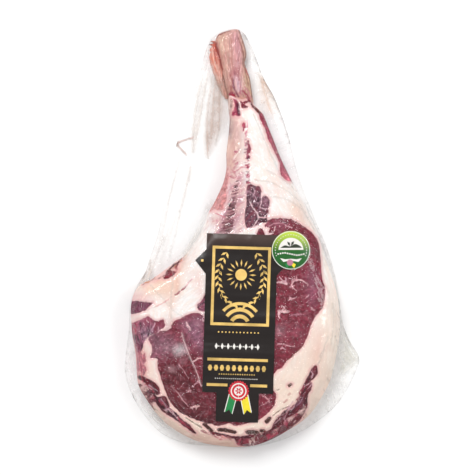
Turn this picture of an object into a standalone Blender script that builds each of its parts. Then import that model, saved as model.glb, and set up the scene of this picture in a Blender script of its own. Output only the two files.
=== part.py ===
"""A vacuum-packed beef rib on its long bone, lying on its back.

Three solids: the sealed clear bag, filled by the meat and its bone; the label stuck on its
front; and the round sticker over the label's upper right corner. The pack lies on Z = 0 with
its front up and the bone pointing to +Y. Sizes below are in millimetres.
"""

import bmesh
import bpy
import numpy as np
from mathutils.geometry import delaunay_2d_cdt

MM = 0.001

# The bag's outer edge, clockwise from the tip of the bone.
BAG_EDGE = (
    (-4, 225), (9, 208), (23, 172), (35, 150), (49, 112), (60, 68), (75, 28), (90, -8),
    (101, -45), (107, -85), (114, -108), (126, -128), (123, -142), (111, -166), (97, -184),
    (71, -204), (41, -218), (7, -225), (-29, -224), (-61, -221), (-87, -210), (-106, -190),
    (-119, -168), (-126, -146), (-125, -122), (-122, -98), (-121, -72), (-115, -54),
    (-105, -38), (-99, -20), (-90, 8), (-83, 45), (-77, 80), (-70, 103), (-58, 135),
    (-47, 172), (-38, 205), (-25, 221),
)
# The edge of the meat and bone inside it.
MEAT_EDGE = (
    (-5, 222), (0, 217), (6, 196), (10, 165), (13, 143), (22, 133), (31, 110), (40, 88),
    (55, 57), (67, 38), (78, 16), (87, -12), (96, -42), (103, -72), (104, -102), (101, -132),
    (94, -164), (78, -190), (51, -208), (23, -218), (-5, -221), (-35, -216), (-63, -205),
    (-87, -186), (-104, -163), (-114, -138), (-118, -104), (-119, -76), (-115, -58),
    (-95, -45), (-75, -33), (-62, -20), (-51, 2), (-39, 22), (-26, 38), (-19, 58),
    (-16, 90), (-15, 140), (-19, 165), (-25, 195), (-26, 213), (-22, 218),
)
# How thick the contents are, and how far in from their edge they reach that, at stations on Y.
STATIONS = (-225, -120, 0, 60, 128, 150, 205, 225)
THICKNESS = (36, 40, 38, 32, 26, 22, 20, 17)
SHOULDER = (24, 26, 24, 20, 16, 13, 13, 12)
SHOULDER_LEAN = 0.35  # the fat side at +X slopes down over a wider band than the cut side
HALF_WIDTH = 100.0
SHOULDER_ROUND = 2.3  # exponent of the rounding, where 2 is a quarter circle
FILM_LAYERS = 2.0  # the two films with the air and juice between them, where they meet
DRAPE = 4.0  # the fillet where the film leaves the meat for the table

# The label, in its own frame: across from its centre line, and down from its top edge.
LABEL_TOP = (0.0, 4.0)
LABEL_TURN_DEG = -1.7
LABEL_HALF = 37.5
LABEL_BODY = 168.0
LABEL_LENGTH = 199.0
LABEL_TAB_HALF = 22.5
EAR_HALF, EAR_TOP, EAR_TIP, EAR_FOOT = 49.0, 17.0, 29.0, 43.0
CORNER = 1.5
LABEL_THICK = 0.6

STICKER_CENTRE = (51.5, -13.0)
STICKER_RADIUS = 20.5
STICKER_THICK = 0.6
STICKER_SIDES = 48
GAP = 0.5  # air left between a piece and the one it is stuck on
STICKER_RAMP = 7.0  # the sticker comes down off the label's edge over this distance

# How finely each surface is divided.
EDGE_CELL = 7.0
OPEN_CELL = 9.0
LABEL_CELL = 4.5
STICKER_CELL = 4.5
RING_DEPTHS = (-9, -4, -1.5, 0, 0.8, 2.2, 4.5, 8, 13, 19, 26)  # rings of points beside the meat's edge
CURVE_STEPS = 5  # points on each stretch of a smooth edge
SHARP_ANGLE = np.radians(40)


def clear_scene():
    for obj in list(bpy.data.objects):
        bpy.data.objects.remove(obj)


def smooth_loop(points):
    """A closed Catmull-Rom curve through the points."""
    here = np.array(points, float)[:, None, :]
    before, after, beyond = (np.roll(here, shift, axis=0) for shift in (1, -1, -2))
    t = (np.arange(CURVE_STEPS) / CURVE_STEPS)[None, :, None]
    slope = after - before
    bend = 2 * before - 5 * here + 4 * after - beyond
    twist = 3 * (here - after) + beyond - before
    return (here + 0.5 * t * (slope + t * (bend + t * twist))).reshape(-1, 2)


def even_loop(loop, spacing):
    """The closed loop with points added so that no side is longer than the spacing."""
    found = []
    for start, end in zip(loop, np.roll(loop, -1, axis=0)):
        pieces = int(np.ceil(np.hypot(*(end - start)) / spacing))
        found += [start + (end - start) * k / pieces for k in range(pieces)]
    return np.array(found)


def spaced_loop(loop, spacing):
    """Points at an even spacing along the closed loop, where its corners don't matter."""
    closed = np.vstack([loop, loop[:1]])
    along = np.concatenate([[0], np.cumsum(np.hypot(*np.diff(closed, axis=0).T))])
    at = np.linspace(0, along[-1], int(along[-1] / spacing), endpoint=False)
    return np.column_stack([np.interp(at, along, closed[:, axis]) for axis in (0, 1)])


def distance_inside(points, loop):
    """Distance of each point from the closed loop, above 0 inside it and below 0 outside."""
    best = np.full(len(points), np.inf)
    inside = np.zeros(len(points), bool)
    for start, end in zip(loop, np.roll(loop, -1, axis=0)):
        side = end - start
        along = np.clip(((points - start) @ side) / (side @ side), 0, 1)
        best = np.minimum(best, np.hypot(*(points - start - along[:, None] * side).T))
        crosses = (start[1] > points[:, 1]) != (end[1] > points[:, 1])
        rise = side[1] or 1.0
        inside ^= crosses & (points[:, 0] < start[0] + (points[:, 1] - start[1]) * side[0] / rise)
    return np.where(inside, best, -best)


def smooth_max(a, b, radius):
    blend = np.clip(0.5 + (a - b) / (2 * radius), 0, 1)
    return b + (a - b) * blend + radius * blend * (1 - blend)


MEAT_LOOP = smooth_loop(MEAT_EDGE)


def bag_height(points):
    """Height of the bag's front over each point of the table."""
    depth = distance_inside(points, MEAT_LOOP)
    x, y = points.T
    thick = np.interp(y, STATIONS, THICKNESS)
    lean = 1 + SHOULDER_LEAN * np.clip(x / HALF_WIDTH, -1, 1)
    share = np.clip(depth / (np.interp(y, STATIONS, SHOULDER) * lean), 0, 1)
    dome = thick * (1 - (1 - share) ** SHOULDER_ROUND) ** (1 / SHOULDER_ROUND)
    return smooth_max(dome, FILM_LAYERS, DRAPE / 2)


def bag_inner_points(edge):
    """Rings of points beside the meat's edge, and an open grid where no ring runs."""
    base = spaced_loop(MEAT_LOOP, EDGE_CELL)
    ahead = np.roll(base, -1, axis=0) - np.roll(base, 1, axis=0)
    inward = np.column_stack([ahead[:, 1], -ahead[:, 0]]) / np.hypot(*ahead.T)[:, None]
    found = [np.empty((0, 2))]
    for depth in RING_DEPTHS:
        ring = base + inward * depth
        true = np.abs(distance_inside(ring, MEAT_LOOP) - depth) < 0.2 + 0.1 * abs(depth)
        clear = distance_inside(ring, edge) > EDGE_CELL / 3
        found.append(ring[true & clear])
    kept = np.vstack(found)
    low, high = edge.min(0), edge.max(0)
    axes = [np.arange(a, b, OPEN_CELL) for a, b in zip(low, high)]
    grid = np.stack(np.meshgrid(*axes), axis=-1).reshape(-1, 2)
    grid = grid[distance_inside(grid, edge) > OPEN_CELL / 2]
    apart = np.hypot(*(grid[:, None] - kept[None]).transpose(2, 0, 1)).min(axis=1)
    return np.vstack([kept, grid[apart > OPEN_CELL * 0.7]])


def in_pack_frame(across, down):
    """Places on the label, in the pack's frame."""
    turn = np.radians(LABEL_TURN_DEG)
    x = LABEL_TOP[0] + across * np.cos(turn) + down * np.sin(turn)
    y = LABEL_TOP[1] + across * np.sin(turn) - down * np.cos(turn)
    return np.column_stack([x, y])


def label_loop():
    """The label's outline: a plaque with a pointed ear at each side and a tab below."""
    half_outline = (
        (LABEL_HALF - CORNER, 0), (LABEL_HALF, CORNER), (LABEL_HALF, EAR_TOP),
        (EAR_HALF, EAR_TIP), (LABEL_HALF, EAR_FOOT), (LABEL_HALF, LABEL_BODY - CORNER),
        (LABEL_HALF - CORNER, LABEL_BODY), (LABEL_TAB_HALF, LABEL_BODY),
        (LABEL_TAB_HALF, LABEL_LENGTH - CORNER), (LABEL_TAB_HALF - CORNER, LABEL_LENGTH),
    )
    mirrored = [(-across, down) for across, down in reversed(half_outline)]
    return in_pack_frame(*np.array([*half_outline, *mirrored], float).T)


def grid_inside(loop, cell):
    """A square grid of points that keeps half a cell clear of the loop."""
    axes = [np.arange(a + cell / 2, b, cell) for a, b in zip(loop.min(0), loop.max(0))]
    grid = np.stack(np.meshgrid(*axes), axis=-1).reshape(-1, 2)
    return grid[distance_inside(grid, loop) > cell / 2]


def sticker_loop():
    angle = np.linspace(0, -2 * np.pi, STICKER_SIDES, endpoint=False)
    return STICKER_CENTRE + STICKER_RADIUS * np.column_stack([np.cos(angle), np.sin(angle)])


def label_underside(points):
    return bag_height(points) + GAP


def sticker_underside(points):
    """Over the label where the two overlap, and down on the bag beside it."""
    off_label = -distance_inside(points, label_loop())
    on_label = np.clip(1 - off_label / STICKER_RAMP, 0, 1)
    return label_underside(points) + (LABEL_THICK + GAP) * on_label


def solid_over(name, loop, inner, topside, underside=None):
    """A closed solid with the loop for its outline, between two height rules.

    Its front is a Delaunay net over the loop and the inner points. The back is the same net on
    the underside's rule, or one flat face on the table where there is no such rule.
    """
    rim = len(loop)
    flat = [tuple(place) for place in np.vstack([loop, inner])]
    places, _, net, *_ = delaunay_2d_cdt(flat, [], [list(range(rim))], 1, 1e-6)
    places = np.array([tuple(place) for place in places])
    assert np.allclose(places, flat, atol=1e-3)
    front = np.column_stack([places, topside(places)])
    lower = rim if underside is None else len(places)
    depths = np.zeros(rim) if underside is None else underside(places)
    back = np.column_stack([places[:lower], depths])
    first = len(front)
    back_faces = [range(rim)] if underside is None else net
    faces = [list(face) for face in net]
    faces += [[first + corner for corner in reversed(face)] for face in back_faces]
    for here in range(rim):
        beside = (here + 1) % rim
        faces.append([here, first + here, first + beside, beside])
    data = bpy.data.meshes.new(name)
    data.from_pydata((np.vstack([front, back]) * MM).tolist(), [], faces)
    shell = bmesh.new()
    shell.from_mesh(data)
    bmesh.ops.recalc_face_normals(shell, faces=shell.faces[:])
    shell.to_mesh(data)
    shell.free()
    data.shade_smooth()
    data.set_sharp_from_angle(angle=SHARP_ANGLE)
    return bpy.data.objects.new(name, data)


def finish(name, colour, roughness):
    material = bpy.data.materials.new(name)
    material.use_nodes = True
    shader = material.node_tree.nodes["Principled BSDF"]
    shader.inputs["Base Color"].default_value = (*colour, 1.0)
    shader.inputs["Roughness"].default_value = roughness
    shader.inputs["Metallic"].default_value = 0.0
    return material


def make_bag():
    edge = spaced_loop(smooth_loop(BAG_EDGE), EDGE_CELL)
    bag = solid_over("vacuum_bag", edge, bag_inner_points(edge), bag_height)
    bag.data.materials.append(finish("clear_film_over_meat", (0.42, 0.13, 0.14), 0.25))
    return bag


def make_label():
    edge = even_loop(label_loop(), LABEL_CELL)
    label = solid_over(
        "front_label", edge, grid_inside(edge, LABEL_CELL),
        lambda places: label_underside(places) + LABEL_THICK, label_underside,
    )
    label.data.materials.append(finish("black_label_film", (0.012, 0.010, 0.010), 0.35))
    return label


def make_sticker():
    edge = sticker_loop()
    sticker = solid_over(
        "round_sticker", edge, grid_inside(edge, STICKER_CELL),
        lambda places: sticker_underside(places) + STICKER_THICK, sticker_underside,
    )
    sticker.data.materials.append(finish("green_sticker_paper", (0.10, 0.35, 0.08), 0.45))
    return sticker


def main():
    clear_scene()
    pack = bpy.data.collections.new("vacuum_packed_beef_rib")
    bpy.context.scene.collection.children.link(pack)
    for piece in (make_bag(), make_label(), make_sticker()):
        pack.objects.link(piece)


main()
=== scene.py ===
"""Looks of a beef rib on its long bone, sealed in a clear vacuum bag under a label and a sticker."""

import bpy
import numpy as np
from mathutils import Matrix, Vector, noise
from mathutils.bvhtree import BVHTree
from mathutils.geometry import delaunay_2d_cdt


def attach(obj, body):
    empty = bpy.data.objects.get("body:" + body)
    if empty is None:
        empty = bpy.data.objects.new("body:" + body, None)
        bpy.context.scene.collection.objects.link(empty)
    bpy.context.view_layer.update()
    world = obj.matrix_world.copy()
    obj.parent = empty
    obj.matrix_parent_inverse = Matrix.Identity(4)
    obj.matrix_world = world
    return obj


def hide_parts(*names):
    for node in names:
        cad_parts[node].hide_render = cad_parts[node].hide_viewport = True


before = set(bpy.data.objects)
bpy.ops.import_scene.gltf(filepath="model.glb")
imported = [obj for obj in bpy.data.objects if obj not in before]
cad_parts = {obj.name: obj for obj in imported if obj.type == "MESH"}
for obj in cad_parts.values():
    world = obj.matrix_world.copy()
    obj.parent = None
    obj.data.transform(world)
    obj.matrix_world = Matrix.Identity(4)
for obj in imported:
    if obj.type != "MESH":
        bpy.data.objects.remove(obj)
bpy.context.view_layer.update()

# ---------------------------------------------------------------------------------------------
# The meat: one slice across a beef forerib, as thick as its rib, with a long tail of flap meat
# left on the bone. It is muscle, fat and silver skin, cut raw with a knife and pressed by the
# bag, so its edges are round and its cut faces nearly flat. Places here are in millimetres.

MM = 0.001
MEAT_EDGE = (
    (-14, 153.5), (-9, 154.5), (-4, 150.5), (1, 149.5), (5, 151.5), (9, 148), (12, 143.5),
    (16, 139.5), (22, 133), (28, 118), (33, 106), (40, 88), (46, 75), (55, 57),
    (66, 38), (73, 20), (79, 9), (84, -5), (89, -22), (96, -42), (101, -60), (103.5, -78),
    (104, -102), (100, -128), (94, -152), (86, -168), (76, -184), (64, -196), (50, -205),
    (32, -215), (14, -221.5), (-6, -223.5), (-24, -222), (-42, -219), (-60, -212), (-78, -201),
    (-92, -187), (-104, -170), (-111, -157), (-113, -140), (-114, -124), (-117, -108),
    (-118.5, -90), (-119, -74), (-116, -60), (-109, -50), (-96, -43.5), (-84, -35), (-72, -26),
    (-62, -19), (-54, -9), (-46, 3), (-41, 15), (-36, 27), (-31, 36), (-25, 48), (-20, 60),
    (-17, 74), (-17, 90), (-15, 108), (-13.5, 126), (-14.5, 138),
    (-15.2, 148),
)
STATIONS = (-225, -120, 0, 60, 120, 138, 155)  # along Y, for the two lists below
THICKNESS = (35.2, 39.6, 37.6, 31.8, 25, 21.2, 19.6)
SHOULDER = (24, 26, 24, 20, 12, 6, 4)  # how far in from the edge the top stays round
SHOULDER_LEAN, HALF_WIDTH = 0.35, 100.0  # the fat side slopes over a wider band
ROUNDNESS = 2.3
EQUATOR = 0.36  # where the side is widest, as a share of the thickness
UNDERCUT = 0.5  # the lower edge is rounded over this share of the shoulder
REST_Z = 0.45  # the underside lies this far above the table, on the film
FINE_CELL = 1.1
COARSE_CELL = 6.0
RING_SHARE = 0.46  # rings of points run from the edge to this share of the shoulder
FAR = 14.0  # distances past this aren't needed

# Muscles: colour, marbling from 0 to 1, and outline.
MUSCLES = {
    "eye": ("#701F2F", 0.45, (
        (24, 14), (28, 19), (35, 21), (44, 21), (54, 19), (62, 14.5), (70, 9), (77, 2), (81, -5),
        (82.5, -13), (83.5, -25), (84, -35), (85, -44), (87.5, -52), (88, -60), (86.5, -68),
        (85, -74), (80, -80.5), (75, -87), (72.5, -93), (70.5, -100), (68, -107), (65, -113),
        (60, -118), (54, -124), (47, -131), (42, -137), (37, -140), (31, -148), (31, -159),
        (36, -167), (34, -176), (29, -184), (22, -190), (14, -194), (4, -197), (-6, -199),
        (-14, -196.5), (-21, -198.5), (-30, -198.5), (-45, -194), (-56, -190), (-65, -185),
        (-74, -177), (-80, -166), (-84, -155), (-88, -144), (-90, -135), (-90, -128),
        (-97, -127), (-95.5, -121), (-96, -114), (-100, -107), (-96, -103), (-90, -101),
        (-85, -98), (-80, -98), (-76, -95), (-72, -88), (-66, -85.5), (-60, -82), (-52, -79.5),
        (-46, -79.5), (-40, -82), (-30, -70), (-12, -44), (4, -18), (13, -2), (15.5, 5),
        (17.5, 9), (20, 10), (22.5, 8), (25, 2), (28, 1), (28, 7), (29, 11), (26, 12),
    )),
    "upper rim": ("#642C41", 0.5, (
        (-121, -69), (-114, -67), (-107, -67), (-102, -68), (-95, -68.5), (-97, -71),
        (-101, -75), (-106, -78.5), (-112, -79.5), (-121, -81),
    )),
    "rim": ("#7F465D", 0.7, (
        (-121, -94), (-114, -89), (-106, -86), (-100, -83), (-95, -86), (-89, -88),
        (-84, -86), (-82, -90), (-82, -94), (-86, -97), (-92, -101), (-98, -103), (-102, -107),
        (-105, -113), (-107, -120), (-111, -122), (-114, -115), (-117, -105),
    )),
    "small": ("#7C4358", 0.7, (
        (-34, -56), (-41, -62.5), (-44, -67), (-47, -70.5), (-47.5, -74), (-45, -77), (-40, -78),
        (-34, -76),
    )),
    "pink rim": ("#C2727A", 0.9, (
        (-115, -113), (-111, -121), (-108, -118), (-106, -124), (-103, -122), (-102.5, -130),
        (-104, -134), (-101.5, -139), (-104, -145), (-106, -142), (-109, -149), (-111, -143),
        (-113, -146), (-112.5, -132),
    )),
    "blood wedge": ("#7A1628", 0.3, (
        (-84, -42.4), (-79, -39.2), (-74, -35.4), (-70.5, -30.8), (-68, -29.4), (-67.6, -33),
        (-71, -37.8), (-76, -41.6), (-81, -43.6),
    )),
    "blood edge": ("#4A1418", 0.1, (
        (-106, -49.2), (-100, -46.4), (-94, -43.6), (-88, -39.6), (-82, -35.2), (-76, -30.4),
        (-70, -25.6), (-65, -21.2), (-64.4, -23), (-69, -27.8), (-75, -32.6), (-81, -37.6),
        (-87, -42), (-93, -45.8), (-99, -48.8), (-105, -51.4),
    )),
    "collar fringe": ("#56201F", 0.3, (
        (6, 150), (9.5, 145.5), (12, 141.8), (16, 138.2), (20, 134), (23, 131), (22, 128.6),
        (18, 132.2), (14, 135.8), (10, 139.6), (7.6, 144), (5, 148.4),
    )),
    "sliver 1": ("#5A362B", 0.1, (
        (-42, -196.4), (-37, -198.8), (-31, -203), (-31.6, -205.4), (-35, -204), (-41, -199.4),
    )),
    "sliver 2": ("#5A362B", 0.1, (
        (-26, -201.6), (-17, -202), (-8, -204.6), (-7.6, -207), (-13, -206.6), (-24, -204.8),
    )),
    "sliver 3": ("#5A362B", 0.1, (
        (4, -204.4), (9, -203.6), (15.6, -204.4), (17, -207), (11, -208), (5, -207.6),
    )),
    "sliver 4": ("#5A362B", 0.1, (
        (18.6, -203.4), (22, -202.8), (24, -204.4), (21, -206), (18.6, -205.6),
    )),
    "sliver 5": ("#5A362B", 0.1, (
        (24.4, -193), (28, -190), (30.6, -190.4), (29, -193.6), (26, -196.6), (24, -196),
    )),
    "sliver 6": ("#5A3A2C", 0.1, (
        (48, -155.4), (51, -154.2), (53, -155), (50.6, -157.6), (48, -157.4),
    )),
    "lip upper": ("#4D1822", 0.6, (
        (-104, -147), (-98, -150), (-93, -153), (-89, -157), (-87, -161), (-87, -165),
        (-90, -166.5), (-96, -163), (-100, -160), (-104, -153), (-111, -149.5), (-111.5, -146.5),
        (-108, -145),
    )),
    "lip left": ("#491925", 0.7, (
        (-100, -161), (-95, -163), (-90, -168), (-83, -167), (-79, -172), (-77, -177),
        (-77, -182), (-72, -184), (-66, -190), (-60, -195), (-55, -199), (-50, -205),
        (-47, -209), (-53, -206), (-60, -201), (-66, -196.5), (-72, -192), (-79, -188),
        (-85, -184), (-90, -178), (-95, -170),
    )),
    "lip rim": ("#5E1019", 0.55, (
        (-111, -155), (-107, -154), (-103, -159), (-99, -166), (-96, -172), (-96, -176),
        (-99, -176), (-103, -169), (-108, -162), (-112, -159),
    )),
    "lip right": ("#560C1C", 0.6, (
        (75, -137), (78, -135), (80, -139), (79.5, -144), (76, -149), (73, -151), (74, -155),
        (73.5, -160), (70, -166), (69, -172), (69.5, -178), (67, -184), (64, -190), (61, -195),
        (56, -199), (50, -204), (42, -210), (34, -215), (22, -219.5), (10, -223), (-2, -222),
        (-8, -217), (-14, -214), (-20, -211), (-30, -209), (-36, -204.5), (-30, -205.5),
        (-22, -207), (-15, -209), (-8, -210), (0, -210), (8, -208.5), (16, -208), (24, -206),
        (30, -203), (32, -199), (35, -193), (40, -188), (45, -183), (53, -178.5), (58, -173),
        (61, -168), (62, -162), (64, -157), (68, -150), (70, -145), (72, -140),
    )),
    "tail": ("#4A1226", 0.86, (
        (5, 55), (9, 57), (14, 55), (18, 55), (20, 51), (19.5, 44.5), (21, 42.5), (24, 44.5),
        (27, 43.5), (29, 40), (28.5, 34), (27.5, 30), (28, 27), (26, 23), (26, 18.5),
        (24, 16.5), (18, 16), (15, 13.5), (12, 12), (8, 10.5), (4, 12), (2.5, 16), (2, 20),
        (3, 28), (4, 36), (5, 45),
    )),
    "salmon web": ("#BE7F7E", 0.5, (
        (-16, 74), (-14.5, 66), (-16, 55), (-17, 47), (-17, 40), (-20, 33), (-20, 30.5),
        (-26, 29.5), (-31, 28), (-36, 29), (-31, 36), (-27, 44), (-23, 52), (-20, 61),
    )),
    "red spot": ("#B04A60", 0.6, ((0, 122), (1.6, 123.5), (3.4, 121), (3, 117), (1.2, 114), (0, 117))),
    "red band": ("#8E3A50", 0.8, (
        (6, 105), (7.4, 101), (9, 96), (8.8, 91), (6.6, 89.4), (4.6, 90.6), (4.8, 95), (5.4, 100),
    )),
    "red band foot": ("#7A2C44", 0.8, ((4.4, 87.6), (7.6, 87.6), (8, 85), (6.2, 83), (4.2, 84.6))),
    "red knot": ("#8A3048", 0.5, ((4.4, 76.4), (6, 77.4), (7.4, 75.8), (6.8, 74), (5, 74))),
    "edge stripe": ("#96324A", 0.5, (
        (17.5, 133.5), (24, 132), (27.5, 124), (31.5, 116), (35.5, 106), (39, 97), (41.5, 90),
        (44, 84), (47, 76), (51, 69), (54, 62), (50, 60.5), (46, 62), (42, 65.5), (40, 71),
        (40, 77), (38.6, 82), (36, 88), (33.2, 93), (30.2, 99), (27.4, 105), (25.4, 112),
        (22.6, 119), (19.4, 126),
    )),
    "collar left": ("#8F2138", 0.3, (
        (-15.5, 151), (-13, 155.5), (-9, 156), (-7, 153.5), (-5.5, 150), (-9, 150.5), (-12, 152),
    )),
    "collar wedge": ("#A03C54", 0.5, (
        (-10.5, 149.5), (-6, 147.5), (-4, 144), (-3, 139), (-2, 132.5), (-3.2, 130), (-5.5, 129.4),
        (-7.6, 131), (-9.4, 129.8), (-11.6, 131), (-10.4, 134), (-8.6, 138), (-8.2, 144),
    )),
    "collar star": ("#6D1C2D", 0.2, (
        (-2, 146), (0.5, 144.6), (3, 146), (7, 147.2), (5, 143.6), (2.8, 142.4), (6, 139.6),
        (2, 138), (-1, 138.8), (-1.4, 142),
    )),
}

# Threads of fat in the eye: colour, width and the line they follow.
MARBLING = (
    ("#DDB0B4", 1.4, ((52, -49.5), (54.5, -46.5), (59, -44.3), (64, -45), (69.5, -49))),
    ("#D49EA6", 1.0, ((57.5, -39.5), (57.2, -45))),
    ("#CF9AA4", 1.0, ((49, -42.5), (55, -43.6), (58, -44.2))),
    ("#E4BCC0", 2.2, ((38, -46.5), (42, -47.2), (46.5, -48.5))),
    ("#D6A6AE", 1.3, ((39.5, -42), (43, -45), (46, -48))),
    ("#CDA0AC", 1.0, ((45, -41), (46.5, -46))),
    ("#DCAEB4", 1.4, ((50.5, -51.5), (55.5, -50.2))),
    ("#CF9AA2", 1.1, ((55, -53.5), (58, -56.5))),
    ("#D9A9B0", 1.2, ((48.5, -66), (53, -64.2), (56, -63.6))),
    ("#D8A6AE", 1.6, ((68, -62), (69.6, -62.4))),
    ("#E8C2C4", 2.3, ((38.5, -77.4), (44, -78.2), (49.5, -78))),
    ("#DDB3B6", 1.4, ((42, -71.5), (45, -74.5), (46, -77))),
    ("#DFB2B8", 1.5, ((38, -80), (39.5, -84.5))),
    ("#B47A8A", 1.6, ((50, -82.5), (56, -81.2), (63, -81))),
    ("#D8A8B0", 1.7, ((73, -74), (76, -77))),
    ("#D3A0A8", 1.3, ((38, -112), (44, -112.6), (50, -114.4), (55.5, -115))),
    ("#CF9CA6", 1.1, ((42, -115.5), (45.5, -118.2))),
    ("#C08894", 1.4, ((28, 12.5), (34, 15.2), (40, 16.2), (46, 14))),
    ("#E9CCCD", 1.3, ((34.6, 11.6), (33.4, 7.5), (31.5, 4.8), (28.4, 4.2))),
    ("#D9B0B8", 1.0, ((46, 12.5), (50, 12), (53, 10.5))),
    ("#DDB4B8", 2.2, ((-59, -90), (-57.5, -93), (-55, -97.5))),
    ("#E2BEC2", 1.6, ((-42, -80.5), (-40, -84), (-39.5, -89))),
    ("#D7A5AC", 1.2, ((-64.5, -100), (-61.5, -110), (-58, -120), (-54, -129), (-49.5, -139), (-45.5, -150), (-43.5, -157))),
    ("#E0B4B6", 1.8, ((-43, -127.3), (-47, -127.6), (-51, -130.5))),
    ("#C48C96", 1.0, ((-67.5, -133.5), (-63, -139), (-59.5, -145), (-56.5, -148))),
    ("#C08A90", 1.2, ((-75, -156.5), (-71, -161.5), (-66, -167), (-62, -173), (-57.5, -178))),
    ("#DFB2B0", 2.0, ((-54.5, -180), (-51, -178.8), (-46, -178))),
    ("#CC9CA4", 1.8, ((-58, -163), (-55.5, -161.5))),
    ("#B98490", 1.0, ((-52, -158), (-48, -152), (-46, -147))),
    ("#C68F98", 0.9, ((20, -177.5), (25, -175), (29, -170), (31, -167))),
    ("#C98F96", 1.2, ((22, -167.5), (26, -170), (28.5, -174))),
)
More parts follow.
